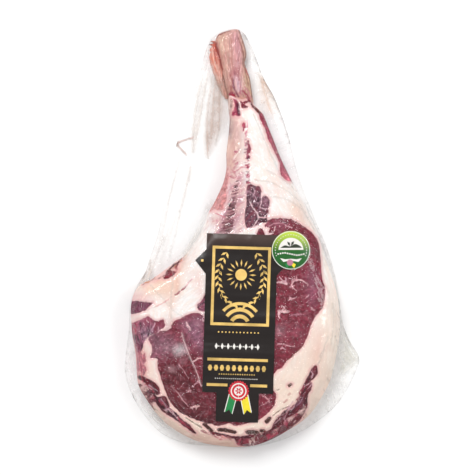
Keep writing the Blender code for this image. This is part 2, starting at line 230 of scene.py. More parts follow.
# Other threads, dashes and seams, in the same order.
SEAMS = (
    # silver skin and fat between the bundles of the tail's muscle
    ("#E6C9CC", 1.5, ((8, 38), (10.5, 33), (13.5, 29.5), (16.2, 25.5), (16.6, 20), (14, 15.5), (11.5, 12))),
    ("#D9B4BC", 1.1, ((20, 44), (20.5, 38), (18.5, 33.5), (22, 31.5), (27.5, 30.8))),
    ("#E0B4BA", 1.4, ((17, 22.3), (21, 21.6), (26, 22))),
    ("#C49AA8", 0.9, ((6, 50), (11, 47), (15, 41), (12, 37), (18, 37))),
    ("#CFA9B4", 0.9, ((12, 53), (13, 48), (11, 44))),
    # threads of blood and lean in the fat at the upper left
    ("#D9A0A8", 1.6, ((-70.5, -60), (-66, -57), (-61, -52.5), (-57.5, -48), (-53, -43.5))),
    ("#86203A", 2.2, ((-71, -60.4), (-68.4, -58.8), (-65.6, -56.6))),
    ("#8E2C42", 1.8, ((-64.4, -55.6), (-62, -53.4), (-60, -51.6))),
    ("#B4566A", 1.5, ((-57.4, -47.4), (-55, -45.4), (-53.4, -43.6))),
    ("#D9A2A0", 1.5, ((-91, -72.5), (-84, -68.8), (-78, -64.5))),
    ("#CFC0BC", 1.0, ((-101, -76.5), (-96, -74.5), (-90, -72))),
    ("#C88068", 1.6, ((-94, -42.6), (-86, -39.8), (-79, -35.6), (-72, -30.4), (-66, -25), (-62, -20.6))),
    ("#D28A62", 2.6, ((-104, -47), (-101, -46.4), (-97, -48))),
    # slivers of lean in the fat between the eye and the lip
    ("#7A6A5C", 1.6, ((-60, -190), (-54, -194), (-48, -198), (-43, -201.5))),
    ("#8E4A4C", 1.4, ((-42, -203), (-36, -207), (-30, -210.5), (-26, -211))),
    ("#3A1A14", 3.6, ((-41, -197.6), (-37, -200.4), (-32, -204.2))),
    ("#35160F", 4.0, ((-24.5, -203.2), (-18, -203.4), (-12, -205), (-8, -206))),
    ("#371811", 4.8, ((6, -205.8), (11, -206), (16, -206.4))),
    ("#3A1A14", 3.2, ((19.5, -204.4), (23, -204.6))),
    ("#7A5A4C", 1.5, ((32.5, -188), (38, -183.8), (43.5, -180.6), (49, -178.2))),
    ("#3E1C16", 4.4, ((26, -195), (29, -191.6))),
    ("#4C2C1E", 3.4, ((49.5, -156.6), (52, -155.4))),
    ("#8E786C", 1.3, ((36, -161), (39, -160.4))),
    ("#C79A90", 2.4, ((49, -166), (50.5, -164.5))),
    ("#BC8880", 2.6, ((44.5, -173.5), (47.5, -171.5))),
    ("#4A0E1C", 2.6, ((-109, -153.5), (-105, -158), (-101, -164.5), (-97.5, -171.5))),
    ("#E2BDB4", 1.5, ((-111, -158), (-106.5, -162.5), (-101.5, -170), (-97, -177))),
    ("#6A1424", 2.0, ((-106, -166), (-101.5, -173), (-96.5, -179.5), (-91, -185))),
    ("#2E0A14", 2.4, ((-96, -163.5), (-91.5, -169), (-87.5, -176), (-82.5, -181.5))),
    ("#5A3A38", 1.4, ((-97, -175.5), (-93.5, -179.5), (-90.5, -183.5))),
    ("#8A5A4C", 1.6, ((-56.5, -208.4), (-55, -210))),
    ("#7C5248", 1.0, ((45, -131.5), (53, -125), (60, -118.6), (65, -113.5))),
    ("#8A5E58", 0.9, ((74, -88), (72.6, -94), (69.5, -101))),
    # white threads inside the lip's muscles
    ("#E0BCB6", 2.3, ((66.5, -179), (60, -184.5), (52, -190), (44, -195.6), (37, -200), (30, -203.4))),
    ("#C79CA4", 1.2, ((65.8, -157.6), (68.5, -155.4), (71.5, -153.6))),
    ("#B8909C", 1.4, ((72.5, -141), (75, -144), (73, -147.5))),
    ("#946478", 1.4, ((64, -170), (61.5, -174.5), (57.5, -178))),
    ("#EBCBC4", 1.8, ((9, -211.5), (12, -215), (16, -218.4))),
    ("#EBCBC4", 1.6, ((5, -213), (8, -217), (11, -220.4))),
    ("#D09AA0", 1.6, ((-16, -215), (-8, -214.4), (0, -215.4), (5, -217.6))),
    ("#B05060", 1.4, ((-22, -211.5), (-12, -212.5), (-2, -213), (8, -213.4))),
    ("#C04A62", 1.6, ((44, -200), (50, -194.6), (56, -189), (61, -182))),
    ("#B83C56", 1.8, ((8, -219.6), (18, -217.6), (28, -213.6), (38, -208))),
    ("#B8848A", 1.0, ((36, -189.6), (44, -186.4), (52, -180.6), (58, -174.6), (61.5, -168))),
    ("#B87C84", 1.1, ((20, -209.6), (30, -206.6), (40, -200), (48, -194), (56, -186))),
    ("#C8A0A4", 1.1, ((-94.5, -166), (-89, -173), (-84.5, -180), (-80, -184.5))),
    ("#B48C98", 1.3, ((-86, -170.5), (-82, -176), (-79.5, -182))),
    ("#BCA0AA", 1.1, ((-99, -155.5), (-94, -159), (-90, -162))),
    ("#D2A4A6", 1.3, ((-109, -152), (-103, -157), (-98.5, -165))),
    # streaks of lean below the lip
    ("#B85A6A", 1.4, ((-28, -211), (-20, -213.4), (-12, -215.6))),
    ("#A83C50", 1.3, ((-18, -215.5), (-10, -218), (-2, -220))),
    ("#C87A80", 1.6, ((-34, -209.6), (-26, -213), (-18, -216))),
    ("#9A3044", 1.6, ((-6, -213.6), (2, -216.6), (10, -219))),
    ("#D08A8C", 1.5, ((-14, -219), (-6, -220.6), (2, -221.4))),
    ("#8E3048", 1.2, ((-44, -204.4), (-36, -208), (-28, -210.6))),
    # the tail's thin red threads
    ("#F6ECE4", 0.8, ((-14, 80), (-8, 86), (0, 96))),
    ("#B2506A", 1.1, ((7.6, 71), (7.2, 65), (6.3, 59.5))),
    ("#D0848E", 1.2, ((-9, 69.5), (-4, 73.2), (1, 75), (4.5, 75.6))),
    ("#D79CA2", 1.0, ((-8, 63.5), (-4, 64.2), (1, 66.4))),
    ("#D890A0", 1.2, ((5.2, 125), (5.6, 119), (4.2, 112), (2.5, 105), (3.2, 98))),
    ("#C97884", 1.4, ((-32, 28), (-28, 26), (-23, 24), (-18, 22.4))),
    ("#BC6A70", 2.2, ((-21.5, 52), (-23.6, 44), (-24.6, 36))),
    ("#D9A8A6", 1.0, ((12, 61.5), (15, 62.4), (17, 60))),
    ("#5B3A3A", 1.0, ((36.5, 96), (43, 82), (49.5, 67), (55, 57.5))),
    ("#EBD3D0", 1.5, ((-14.5, 151.5), (-9.5, 149.8), (-4.6, 146.4), (-2.4, 142.6), (-1.8, 136), (-1, 131))),
    ("#4B1E30", 2.5, ((-5, 143), (-4.6, 137), (-3.8, 131))),
    ("#8A6A64", 2.6, ((-11.6, 147), (-11.4, 143), (-12, 139.6))),
    ("#94303F", 2.6, ((2.5, 152), (5, 150), (7.4, 147.6), (9, 144.6))),
    # the edge of the tail and of its web
    ("#7C2A38", 2.2, ((17, 133), (22, 127), (27, 116), (32, 105), (37, 94), (40, 86), (44, 77))),
    ("#9C5048", 1.1, ((-15.6, 100), (-17, 88), (-17.4, 74), (-20, 60), (-24.5, 50), (-28, 41), (-31.5, 33))),
    ("#B4686A", 1.0, ((-15, 62), (-17, 50), (-18.5, 40), (-21, 32))),
    ("#8C5A58", 0.9, ((-12.6, 118), (-13.4, 108), (-14.6, 98))),
)

# Ladders of short dark fibres that the ribs' muscles leave on the tail: how many, top, foot,
# half length and width at the top and what they gain by the foot, all in mm, and colours.
RUNG_TURN = 20  # degrees, of the fibres across the tail
LADDERS = (
    (18, (-5.5, 60), (-17.5, 5), RUNG_TURN, 0.6, (2.2, 3.8), (1.2, 1.3), ("#2E000E", "#440418", "#5E1430")),
    (17, (3.6, 112), (6.2, 58), RUNG_TURN, 0.6, (1.5, 0.5), (1.0, 0.2), ("#9A3450", "#6E2A44", "#B4506E")),
    (14, (-7, 92), (-12, 60), 34, 2.6, (3.6, 1.6), (0.9, 0.3), ("#B46A76", "#C48C8C", "#A4546A")),
    (8, (-1.5, 70), (-1, 8), RUNG_TURN, 0.6, (2.2, 0.4), (0.6, 0.2), ("#C48A92", "#D8A8AC", "#B87884")),
    (12, (22, 128), (48, 66), -66, 1.2, (3.0, 1.0), (0.8, 0.2), ("#E8C4C0", "#5E1830", "#CC8890")),
    # fibres along the lip's muscles and the rim's
    (14, (69, -156), (38, -194), 54, 3.0, (4.0, 1.0), (0.9, 0.3), ("#C49AA4", "#8E2038", "#3A0C18")),
    (18, (62, -190), (12, -217), 30, 3.0, (4.0, 1.5), (1.0, 0.5),
     ("#C23A56", "#DDB0AE", "#6E1226", "#B84A5E")),
    (12, (-24, -212), (14, -219), -24, 2.4, (3.4, 0.6), (1.1, 0.3),
     ("#C04A5E", "#EBC8C0", "#7A1428", "#D8908E")),
    (16, (-106, -152), (-62, -198), -50, 3.0, (3.5, 1.0), (0.9, 0.3),
     ("#C8A4A8", "#A83A4C", "#2E0E16", "#7A4458")),
    (18, (-114, -98), (-106, -150), -82, 3.0, (3.4, 1.0), (1.0, 0.2),
     ("#B8485A", "#E2B4B0", "#8A3048", "#C87880")),
    (12, (-112, -95), (-88, -95), 80, 3.4, (2.4, 0.4), (0.9, 0.2), ("#B4889A", "#6A2A44", "#C79AA8")),
    (8, (-117, -73), (-101, -72), 86, 1.6, (3.0, 0.5), (0.8, 0.2), ("#8C5A70", "#3E1424")),
    (16, (8, 50), (22, 20), 60, 5.0, (1.8, 0.4), (0.8, 0.2), ("#96687A", "#1C070F", "#7A4A5E")),
)
chance = np.random.default_rng(11)
rungs = []
for count, top, foot, degrees, spread, (half, longer), (width, wider), colours in LADDERS:
    for share in np.linspace(0, 1, count):
        centre = np.array(top) + share * np.subtract(foot, top)
        centre += chance.uniform(-spread, spread, 2)
        turn = np.radians(degrees) + chance.uniform(-0.2, 0.2)
        reach = chance.uniform(0.75, 1.2) * (half + longer * share)
        step = reach * np.array((np.cos(turn), np.sin(turn)))
        path = (centre - step, centre + (0, -0.5), centre + step)
        colour = colours[chance.integers(len(colours))]
        rungs.append((colour, chance.uniform(0.8, 1.15) * (width + wider * share), path))

# Twigs that branch off the threads of fat.
TWIGS, TWIG_LENGTH = 2, 3.2
chance = np.random.default_rng(7)
twigs = []
for colour, width, path in MARBLING:
    for _ in range(TWIGS):
        k = chance.integers(len(path) - 1)
        start = np.array(path[k]) + chance.random() * np.subtract(path[k + 1], path[k])
        turn = chance.uniform(0, 2 * np.pi)
        step = TWIG_LENGTH * chance.uniform(0.5, 1) * np.array((np.cos(turn), np.sin(turn)))
        twigs.append((colour, 0.5 * width, (start, start + 0.5 * step + (0.3, 0.2), start + step)))
LINES = MARBLING + tuple(twigs) + SEAMS + tuple(rungs)

# Soft washes on the fat, and on the lean: colour, strength, softness of the rim, and outline. Most are stains and tints
# of the meat; those marked below are painted shade and a painted reflection.
FAT = "#EDE9E7"
FAT_WASHES = (
    # painted shade: the lower part of the fat is darker and warmer towards the foot of the cut, away from the light
    ("#E8D2C2", 0.78, 40, ((-125, -120), (-60, -150), (30, -120), (60, -90), (120, -60), (120, -230), (-125, -230))),
    ("#CFAA99", 0.8, 12, ((-118, -150), (-96, -176), (-70, -197), (-30, -212), (20, -218), (70, -186), (60, -230), (-80, -230), (-130, -170))),
    ("#CB9C8C", 0.75, 9, ((-50, -209), (-20, -212), (5, -216), (20, -220), (0, -230), (-60, -224))),
    ("#E3C0AC", 0.5, 8, ((92, -95), (97, -118), (90, -150), (78, -172), (88, -170), (99, -145), (103, -115))),
    ("#E2B4A8", 0.6, 9, ((72, -118), (80, -96), (90, -98), (88, -120), (78, -140), (72, -134))),
    ("#F8ECE0", 0.8, 8, ((84, -12), (92, -20), (104, -70), (105, -125), (98, -150), (88, -130), (86, -90), (90, -60))),
    ("#E5CAC1", 0.4, 7, ((88, -55), (94, -50), (100, -75), (101, -95), (92, -92))),
    ("#CDA395", 0.7, 6, ((-113, -152), (-108, -160), (-98, -175), (-90, -186), (-97, -186), (-107, -170), (-114, -158))),
    ("#CBA09B", 0.85, 7, ((-15, 128), (1, 128), (2, 100), (-2, 78), (-8, 66), (-16, 64), (-18, 90))),
    ("#84686A", 0.75, 3, ((-15, 136), (-11, 134), (-10.5, 118), (-13, 106), (-16.5, 106))),
    ("#D49984", 0.7, 6, ((-18, 102), (-12, 102), (-10, 84), (-14, 62), (-20, 62))),
    ("#C0909A", 0.8, 6, ((-12, 66), (3, 66), (2, 20), (-6, 8), (-22, 0), (-34, 20), (-20, 32))),
    ("#9A5A6C", 0.6, 4, ((-9, 55), (-3, 53), (-6, 30), (-10, 8), (-22, 3), (-24, 12), (-17, 34))),
    ("#7E2C4A", 0.6, 3, ((-13, 38), (-7, 40), (-9, 14), (-20, 8), (-22, 14), (-16, 28))),
    ("#E3BCA6", 0.75, 9, ((50, 36), (60, 38), (70, 14), (64, 6), (52, 24))),
    ("#E9CBC4", 0.5, 10, ((28, 74), (40, 60), (44, 46), (34, 44), (24, 62))),
    ("#E6C2B3", 0.55, 5, ((26, 100), (31, 100), (31, 84), (25, 84))),
    ("#D08C70", 0.8, 3, ((-94, -43.6), (-80, -36), (-68, -25), (-60, -18), (-60, -24), (-70, -36), (-82, -43), (-94, -47))),
    ("#C06A50", 0.8, 2.5, ((-71, -36), (-66, -37), (-61, -26), (-60, -19), (-64, -20), (-71, -30))),
    ("#C8845E", 0.7, 2.5, ((-92, -45), (-82, -42.5), (-81, -46), (-90, -48))),
    ("#C87858", 0.7, 2, ((-107, -50), (-101, -47.5), (-97, -50), (-102, -53))),
    ("#D89A84", 0.7, 2.5, ((-71, -44), (-67, -45), (-68, -57), (-71, -57))),
    ("#D48A80", 0.7, 3, ((-114, -116), (-103, -117), (-99, -132), (-101, -148), (-106, -153), (-114, -150))),
    ("#DDBBA8", 0.8, 9, ((-112, -52), (-96, -43), (-80, -34), (-70, -30), (-80, -44), (-100, -60))),
    ("#E0CCC6", 0.6, 8, ((-72, -26), (-56, -10), (-50, -20), (-52, -40), (-66, -40))),
    ("#E5C0AC", 0.75, 9, ((-104, -50), (-82, -42), (-66, -32), (-64, -52), (-78, -66), (-100, -60))),
    ("#E0B5A6", 0.6, 5, ((-74, -34), (-68, -36), (-68, -58), (-74, -74), (-78, -62), (-71, -50))),
    ("#E3C0B3", 0.6, 5, ((-80, -70), (-74, -68), (-72, -92), (-78, -92))),
    ("#E3B9B3", 0.6, 7, ((-52, -38), (-42, -40), (-40, -60), (-48, -62), (-50, -52))),
    ("#DCACAA", 0.7, 5, ((-119, -56), (-104, -58), (-96, -66), (-110, -68), (-120, -68))),
    ("#E0B3AC", 0.6, 5, ((-120, -80), (-108, -80), (-98, -80), (-110, -90), (-120, -92))),
    ("#BE9DA1", 0.65, 6, ((-82, -88), (-76, -86), (-76, -96), (-86, -104), (-94, -104), (-84, -96))),
    ("#D1B1AF", 0.6, 5, ((-105, -108), (-97, -110), (-96, -124), (-100, -128), (-104, -120))),
    ("#E6CAC2", 0.7, 8, ((-103, -128), (-94, -130), (-86, -158), (-95, -160))),
    ("#D8ADB0", 0.6, 4, ((30, 8), (24, 13), (22, 20), (30, 24), (50, 24), (68, 14), (50, 24), (30, 22))),
    ("#C4948C", 0.8, 4, ((-15, 154), (10, 152), (13, 144), (2, 143), (-2, 130), (-12, 127), (-15, 138))),
)
LEAN_WASHES = (
    ("#A4566C", 0.75, 3, ((-118, -90), (-104, -84), (-90, -87), (-83, -91), (-90, -95), (-104, -90), (-112, -96), (-118, -104))),
    ("#530D19", 0.8, 16, ((-92, -134), (-62, -124), (-44, -136), (-40, -160), (-24, -176), (-20, -200), (-60, -200), (-90, -160))),
    ("#39060E", 0.7, 7, ((-90, -150), (-74, -172), (-50, -188), (-20, -193), (-20, -202), (-60, -195), (-90, -165))),
    ("#7A4C5B", 0.85, 9, ((-100, -100), (-84, -98), (-72, -104), (-64, -112), (-60, -122), (-72, -124), (-86, -128), (-98, -128))),
    ("#83576B", 0.7, 8, ((-66, -88), (-42, -80), (-38, -90), (-38, -122), (-52, -116), (-62, -100))),
    # these four small pale patches on the eye are juice trapped under the film, partly painted as a reflection of the
    # lamps on it
    ("#AF929B", 0.8, 4, ((-72, -116), (-66, -113), (-60, -116), (-61, -121), (-68, -124), (-72, -121))),
    ("#99747E", 0.6, 3.5, ((-83, -114), (-77, -114), (-77, -120), (-83, -120))),
    ("#A0757B", 0.7, 2.5, ((-79, -136), (-72, -136), (-71, -142), (-78, -142))),
    ("#905E67", 0.6, 2.5, ((-66, -128), (-60, -128), (-60, -134), (-66, -134))),
    ("#79293C", 0.6, 14, ((60, -30), (82, -30), (86, -60), (72, -84), (60, -60))),
    ("#81485C", 0.75, 6, ((70, -38), (77, -34), (80, -56), (76, -72), (69, -60))),
    ("#771A2B", 0.8, 3.5, ((80, -5), (85, -30), (86, -46), (89, -58), (86, -74), (80, -82), (82, -70), (85, -58), (82, -40), (80, -20))),
    ("#5F2131", 0.7, 5, ((34, 3), (46, 3), (46, 10), (34, 11))),
    ("#5F1F2C", 0.7, 4, ((30, 21), (44, 20), (60, 14), (74, 4), (80, -4), (80, 4), (60, 20), (40, 24))),
    ("#875263", 0.6, 5, ((26, 12), (46, 12), (46, 17), (28, 17))),
    ("#753242", 0.5, 9, ((38, -92), (66, -88), (66, -110), (40, -106))),
    ("#A1747E", 0.7, 4, ((36, -94), (43, -94), (43, -103), (36, -103))),
    ("#906074", 0.75, 3, ((21, 43), (27, 43), (28.5, 33), (22, 33))),
    ("#3F1926", 0.8, 2.5, ((17, 30), (27, 29), (27, 25), (18, 25))),
    ("#3F1926", 0.8, 2.5, ((17, 20.5), (26, 20), (25, 17), (16, 17))),
    ("#5F3D4D", 0.6, 4, ((5, 50), (18, 52), (19, 40), (9, 34), (5, 40))),
    ("#5D3B4D", 0.6, 4, ((4, 26), (14, 26), (14, 17), (4, 17))),
    ("#89233C", 0.8, 4, ((-23, 17), (-14, 17), (-12, 12), (-22, 10))),
    ("#3C1723", 0.7, 3, ((-18, 30), (-9, 32), (-8, 18), (-17, 16))),
    ("#A74F5B", 0.7, 4, ((-120, -92), (-112, -90), (-110, -104), (-119, -104))),
    ("#79283B", 0.6, 4, ((-95, -87), (-86, -86), (-85, -96), (-93, -95))),
    ("#775F71", 0.6, 5, ((-110, -96), (-96, -94), (-96, -104), (-108, -108))),
    ("#770612", 0.7, 5, ((12, -212), (30, -212), (48, -202), (60, -194), (50, -206), (20, -221), (8, -222))),
    ("#551C2D", 0.7, 5, ((-20, -208), (10, -208), (8, -214), (-16, -214))),
    ("#5A2C40", 0.6, 4, ((56, -166), (64, -164), (64, -178), (54, -180))),
    ("#684158", 0.6, 4, ((-76, -184), (-66, -188), (-58, -198), (-70, -194))),
    ("#3E0418", 0.9, 1.6, (
        (-7, 145), (-5, 143.5), (-3.6, 139), (-2.4, 133), (-3.4, 130.6), (-5, 132), (-6.4, 137),
        (-7, 141),
    )),
    ("#C8707E", 0.8, 2.5, (
        (42.5, 77), (46, 74), (51, 65.5), (53, 62), (49, 60), (45.5, 62.4), (42.6, 67.5), (42, 73),
    )),
    ("#C0667A", 0.6, 3, ((29.5, 108), (32, 108), (35.5, 98), (33, 96))),
    ("#995C67", 0.5, 4, ((36, 97), (32, 100), (38, 84), (42, 84))),
)

# Where the silver skin's fibres run across the tail.
CROSS_FIBRES = ((-19, 84), (-8, 86), (2, 74), (2, 12), (-8, 4), (-24, 2), (-40, 8), (-34, 30), (-24, 50))


def smooth_loop(points, steps=6):
    """A closed Catmull-Rom curve through the points."""
    here = np.array(points, float)[:, None, :]
    before, after, beyond = (np.roll(here, shift, axis=0) for shift in (1, -1, -2))
    t = (np.arange(steps) / steps)[None, :, None]
    bend = 2 * before - 5 * here + 4 * after - beyond
    twist = 3 * (here - after) + beyond - before
    return (here + 0.5 * t * (after - before + t * (bend + t * twist))).reshape(-1, 2)


def smooth_path(points, steps=6):
    """An open Catmull-Rom curve through the points."""
    points = np.array(points, float)
    ends = 2 * points[[0, -1]] - points[[1, -2]]
    loop = smooth_loop(np.vstack([ends[:1], points, ends[1:]]), steps)
    return loop[steps:steps * len(points) + 1]


def spaced(path, spacing, closed=True):
    """Points at an even spacing along a path."""
    line = np.vstack([path, path[:1]]) if closed else path
    along = np.concatenate([[0], np.cumsum(np.hypot(*np.diff(line, axis=0).T))])
    at = np.linspace(0, along[-1], max(3, round(along[-1] / spacing)), endpoint=not closed)
    return np.column_stack([np.interp(at, along, line[:, axis]) for axis in (0, 1)])


def distance(points, path, closed=True, reach=FAR):
    """How far each point is inside a closed path, or outside it below 0, or from an open one."""
    found = np.full(len(points), -reach if closed else reach)
    near = np.all((points > path.min(0) - reach) & (points < path.max(0) + reach), axis=1)
    some = points[near]
    best = np.full(len(some), np.inf)
    inside = np.zeros(len(some), bool)
    ends = np.roll(path, -1, axis=0) if closed else path[1:]
    for start, end in zip(path, ends):
        side = end - start
        along = np.clip(((some - start) @ side) / (side @ side), 0, 1)
        best = np.minimum(best, ((some - start - along[:, None] * side) ** 2).sum(axis=1))
        if closed:
            crosses = (start[1] > some[:, 1]) != (end[1] > some[:, 1])
            inside ^= crosses & (
                some[:, 0] < start[0] + (some[:, 1] - start[1]) * side[0] / (side[1] or 1)
            )
    best = np.minimum(np.sqrt(best), reach)
    found[near] = np.where(inside, best, -best) if closed else best
    return found


def hex_net(loop, cell, clear, reach=60.0):
    """Points in rows, offset like bricks, that keep clear of the loop, and how deep each lies."""
    low, high = loop.min(0), loop.max(0)
    rows = np.arange(low[1], high[1], cell * np.sqrt(0.75))
    across = np.arange(low[0], high[0], cell)
    points = np.array([(x + cell / 2 * (k % 2), y) for k, y in enumerate(rows) for x in across])
    depth = distance(points, loop, reach=reach)
    return points[depth > clear], depth[depth > clear]


def net_over(rim, inner):
    """Triangles over a loop and the points inside it, which keep their order."""
    flat = [tuple(place) for place in np.vstack([rim, inner])]
    _, _, faces, kept, *_ = delaunay_2d_cdt(flat, [], [list(range(len(rim)))], 1, 1e-7)
    return [[kept[corner][0] for corner in face] for face in faces]


def make_piece(name, points, faces):
    """A smooth-shaded object from points in millimetres."""
    mesh = bpy.data.meshes.new(name)
    mesh.from_pydata((np.asarray(points) * MM).tolist(), [], faces)
    mesh.shade_smooth()
    piece = bpy.data.objects.new(name, mesh)
    bpy.context.scene.collection.objects.link(piece)
    return piece


def closed_piece(name, rim, upper, lower):
    """A closed piece of two nets of points (x, y, z) that share a rim."""
    skip = len(upper)
    faces = [tuple(face) for face in net_over(rim[:, :2], upper[:, :2])]
    faces += [
        tuple(corner if corner < len(rim) else corner + skip for corner in reversed(face))
        for face in net_over(rim[:, :2], lower[:, :2])
    ]
    return make_piece(name, np.vstack([rim, upper, lower]), faces)


def rough(points, size, depth=3, seed=0.0):
    """Fractal noise of about -1 to 1 at each point, for lumps of the given size in mm."""
    return np.array([
        noise.fractal(Vector((x / size, y / size, seed)), 1.0, 2.0, depth) for x, y in points
    ])


def wobbled(path, seed, amount=0.8):
    """The path with the unevenness of something torn or cut by hand."""
    drift = [
        rough(path, 7.0, 2, seed + k) + 0.8 * rough(path, 2.4, 2, seed + k + 50) for k in (0, 9)
    ]
    return path + amount * np.column_stack(drift)


def shoulder(points):
    lean = 1 + SHOULDER_LEAN * np.clip(points[:, 0] / HALF_WIDTH, -1, 1)
    return np.interp(points[:, 1], STATIONS, SHOULDER) * lean


def dome(share, roundness=ROUNDNESS):
    return (1 - (1 - np.clip(share, 0, 1)) ** roundness) ** (1 / roundness)


def side_rings(rim, loop, depths, share_end, count):
    """Rings of points inside the rim, close together where the side is steep."""
    ahead = np.roll(rim, -1, axis=0) - np.roll(rim, 1, axis=0)
    inward = np.column_stack([ahead[:, 1], -ahead[:, 0]]) / np.hypot(*ahead.T)[:, None]
    steps = np.linspace(0, 1, 400)
    curve = np.concatenate([[0], np.cumsum(np.hypot(np.diff(steps), np.diff(dome(steps))))])
    ends = np.linspace(0, np.interp(share_end, steps, curve), count + 1)[1:]
    rings = []
    for share in np.interp(ends, curve, steps):
        ring = rim + inward * (share * depths)[:, None]
        rings.append(ring[distance(ring, loop, reach=40) > share * depths - 0.12])
    return np.vstack(rings)


def linear(hex_colour):
    """An sRGB hex colour as linear light."""
    value = np.array([int(hex_colour[k:k + 2], 16) for k in (1, 3, 5)]) / 255
    return np.where(value <= 0.04045, value / 12.92, ((value + 0.055) / 1.055) ** 2.4)


def washed(points, base, washes):
    """The base colours with each soft wash of colour laid over them in turn."""
    found = np.array(base, float)
    for colour, strength, soft, outline in washes:
        depth = distance(points, smooth_loop(outline, 4), reach=soft + 1)
        amount = strength * np.clip(0.5 + depth / (2 * soft), 0, 1)[:, None]
        found += (linear(colour) - found) * amount * amount * (3 - 2 * amount)
    return found


def line_fields(points, lines):
    """How far each point lies inside the nearest line's width, and that line's colour."""
    best = np.full(len(points), -FAR)
    tone = np.zeros((len(points), 3))
    for seed, (colour, width, path) in enumerate(lines):
        path = wobbled(smooth_path(path), seed, 0.45)
        inside = width / 2 - distance(points, path, closed=False, reach=FAR / 2)
        closer = inside > best
        best[closer] = inside[closer]
        tone[closer] = linear(colour)
    return best, tone


def add_attributes(piece, **fields):
    """Stores numbers or colours for each point of the piece."""
    for name, values in fields.items():
        kind = "FLOAT" if np.ndim(values) == 1 else "FLOAT_VECTOR"
        made = piece.data.attributes.new(name, kind, "POINT")
        key = "value" if kind == "FLOAT" else "vector"
        made.data.foreach_set(key, np.ravel(values).astype(np.float32))


MEAT_LOOP = smooth_loop(MEAT_EDGE)
rim = spaced(MEAT_LOOP, FINE_CELL)
upper_rings = side_rings(rim, MEAT_LOOP, shoulder(rim), RING_SHARE, 19)
lower_rings = side_rings(rim, MEAT_LOOP, UNDERCUT * shoulder(rim), 0.8, 7)
paths = [wobbled(smooth_path(path), seed, 0.45) for seed, (_, _, path) in enumerate(LINES)]
threads = np.vstack([spaced(path, 1.0, closed=False) for path in paths])
threads = threads[distance(threads, MEAT_LOOP, reach=40) > RING_SHARE * shoulder(threads) + 0.5]
net, net_depth = hex_net(MEAT_LOOP, FINE_CELL, 1)
net = net[net_depth > (RING_SHARE + 0.03) * shoulder(net)]
clear = np.full(len(net), FAR)
for path in paths:
    clear = np.minimum(clear, distance(net, path, closed=False, reach=2))
upper = np.vstack([upper_rings, threads, net[clear > 0.6]])
coarse, coarse_depth = hex_net(MEAT_LOOP, COARSE_CELL, 2)
lower = np.vstack([lower_rings, coarse[coarse_depth > 0.45 * shoulder(coarse)]])
places = np.vstack([rim, upper, lower])

lean_mm = np.full(len(places), -FAR)
lean_tone = np.zeros((len(places), 3))
marbling = np.zeros(len(places))
for seed, (colour, marble, outline) in enumerate(MUSCLES.values()):
    depth = distance(places, wobbled(smooth_loop(outline, 5), seed + 100, 0.6))
    closer = depth > lean_mm
    lean_mm[closer] = depth[closer]
    lean_tone[closer] = linear(colour)
    marbling[closer] = marble
lean_tone = washed(places, lean_tone, LEAN_WASHES)
fat_tone = washed(places, np.tile(linear(FAT), (len(places), 1)), FAT_WASHES)
line_mm, line_tone = line_fields(places, LINES)
line_mm[len(rim) + len(upper):] = -FAR  # threads of the cut face end on its sides
edge_mm = distance(places, MEAT_LOOP, reach=60)
cross_grain = np.clip(0.5 + distance(places, smooth_loop(CROSS_FIBRES)) / 5, 0, 1)

# Relief: lean lies a little lower than fat, seams and threads are cut in, and fat is lumpy.
top = slice(len(rim), len(rim) + len(upper))
on_lean = np.clip(0.5 + lean_mm[top] / 3, 0, 1)
bright = np.where(line_tone[top].mean(axis=1) > 0.3, 1.0, -1.6)
relief = -0.6 * on_lean - 0.45 * np.exp(-(lean_mm[top] / 0.9) ** 2)
relief += 0.3 * bright * np.exp(-(np.minimum(line_mm[top], 0) / 0.8) ** 2)
relief += (1 - 0.6 * on_lean) * (0.8 * rough(upper, 24, 2, 3.0) + 0.35 * rough(upper, 8, 2, 7.0))
relief += 0.12 * (0.4 + on_lean) * rough(upper, 2.2, 2, 5.0)
cosine, sine = np.cos(np.radians(RUNG_TURN)), np.sin(np.radians(RUNG_TURN))
fibre_run = upper @ np.array(((cosine, -sine), (sine, cosine)))
relief += 0.35 * cross_grain[top] * rough(fibre_run * (0.15, 1), 2.6, 2, 2.0)
thick = np.interp(upper[:, 1], STATIONS, THICKNESS)
upper_z = thick * (EQUATOR + (1 - EQUATOR) * dome(edge_mm[top] / shoulder(upper)))
upper_z += relief * np.clip(edge_mm[top] / 8, 0, 1)
rim_z = EQUATOR * np.interp(rim[:, 1], STATIONS, THICKNESS)
lower_share = edge_mm[len(rim) + len(upper):] / (UNDERCUT * shoulder(lower))
widest = EQUATOR * np.interp(lower[:, 1], STATIONS, THICKNESS)
lower_z = REST_Z + (widest - REST_Z) * (1 - dome(lower_share))
beef = closed_piece(
    "beef_slice", np.column_stack([rim, rim_z]), np.column_stack([upper, upper_z]),
    np.column_stack([lower, lower_z]),
)
add_attributes(
    beef, lean_mm=lean_mm, lean_tone=lean_tone, fat_tone=fat_tone, line_mm=line_mm,
    line_tone=line_tone, marbling=marbling, edge_mm=edge_mm, cross_grain=cross_grain,
)


def add_node(tree, kind, links=None, **settings):
    """Adds a node to a tree. Links go to its inputs by name or number, from a socket or a value."""
    node = tree.nodes.new(kind)
    for name, value in settings.items():
        setattr(node, name, value)
    for key, source in (links or {}).items():
        target = node.inputs[key]
        if isinstance(source, bpy.types.NodeSocket):
            tree.links.new(source, target)
        else:
            target.default_value = source
    return node


def new_material(name):
    """An empty material, its node tree and its output node."""
    material = bpy.data.materials.new(name)
    material.use_nodes = True
    tree = material.node_tree
    tree.nodes.clear()
    return material, tree, tree.nodes.new("ShaderNodeOutputMaterial")


def field(tree, name):
    """A number stored on the piece's points."""
    return add_node(tree, "ShaderNodeAttribute", attribute_name=name).outputs["Fac"]


def tone(tree, name):
    """A colour stored on the piece's points."""
    return add_node(tree, "ShaderNodeAttribute", attribute_name=name).outputs["Vector"]


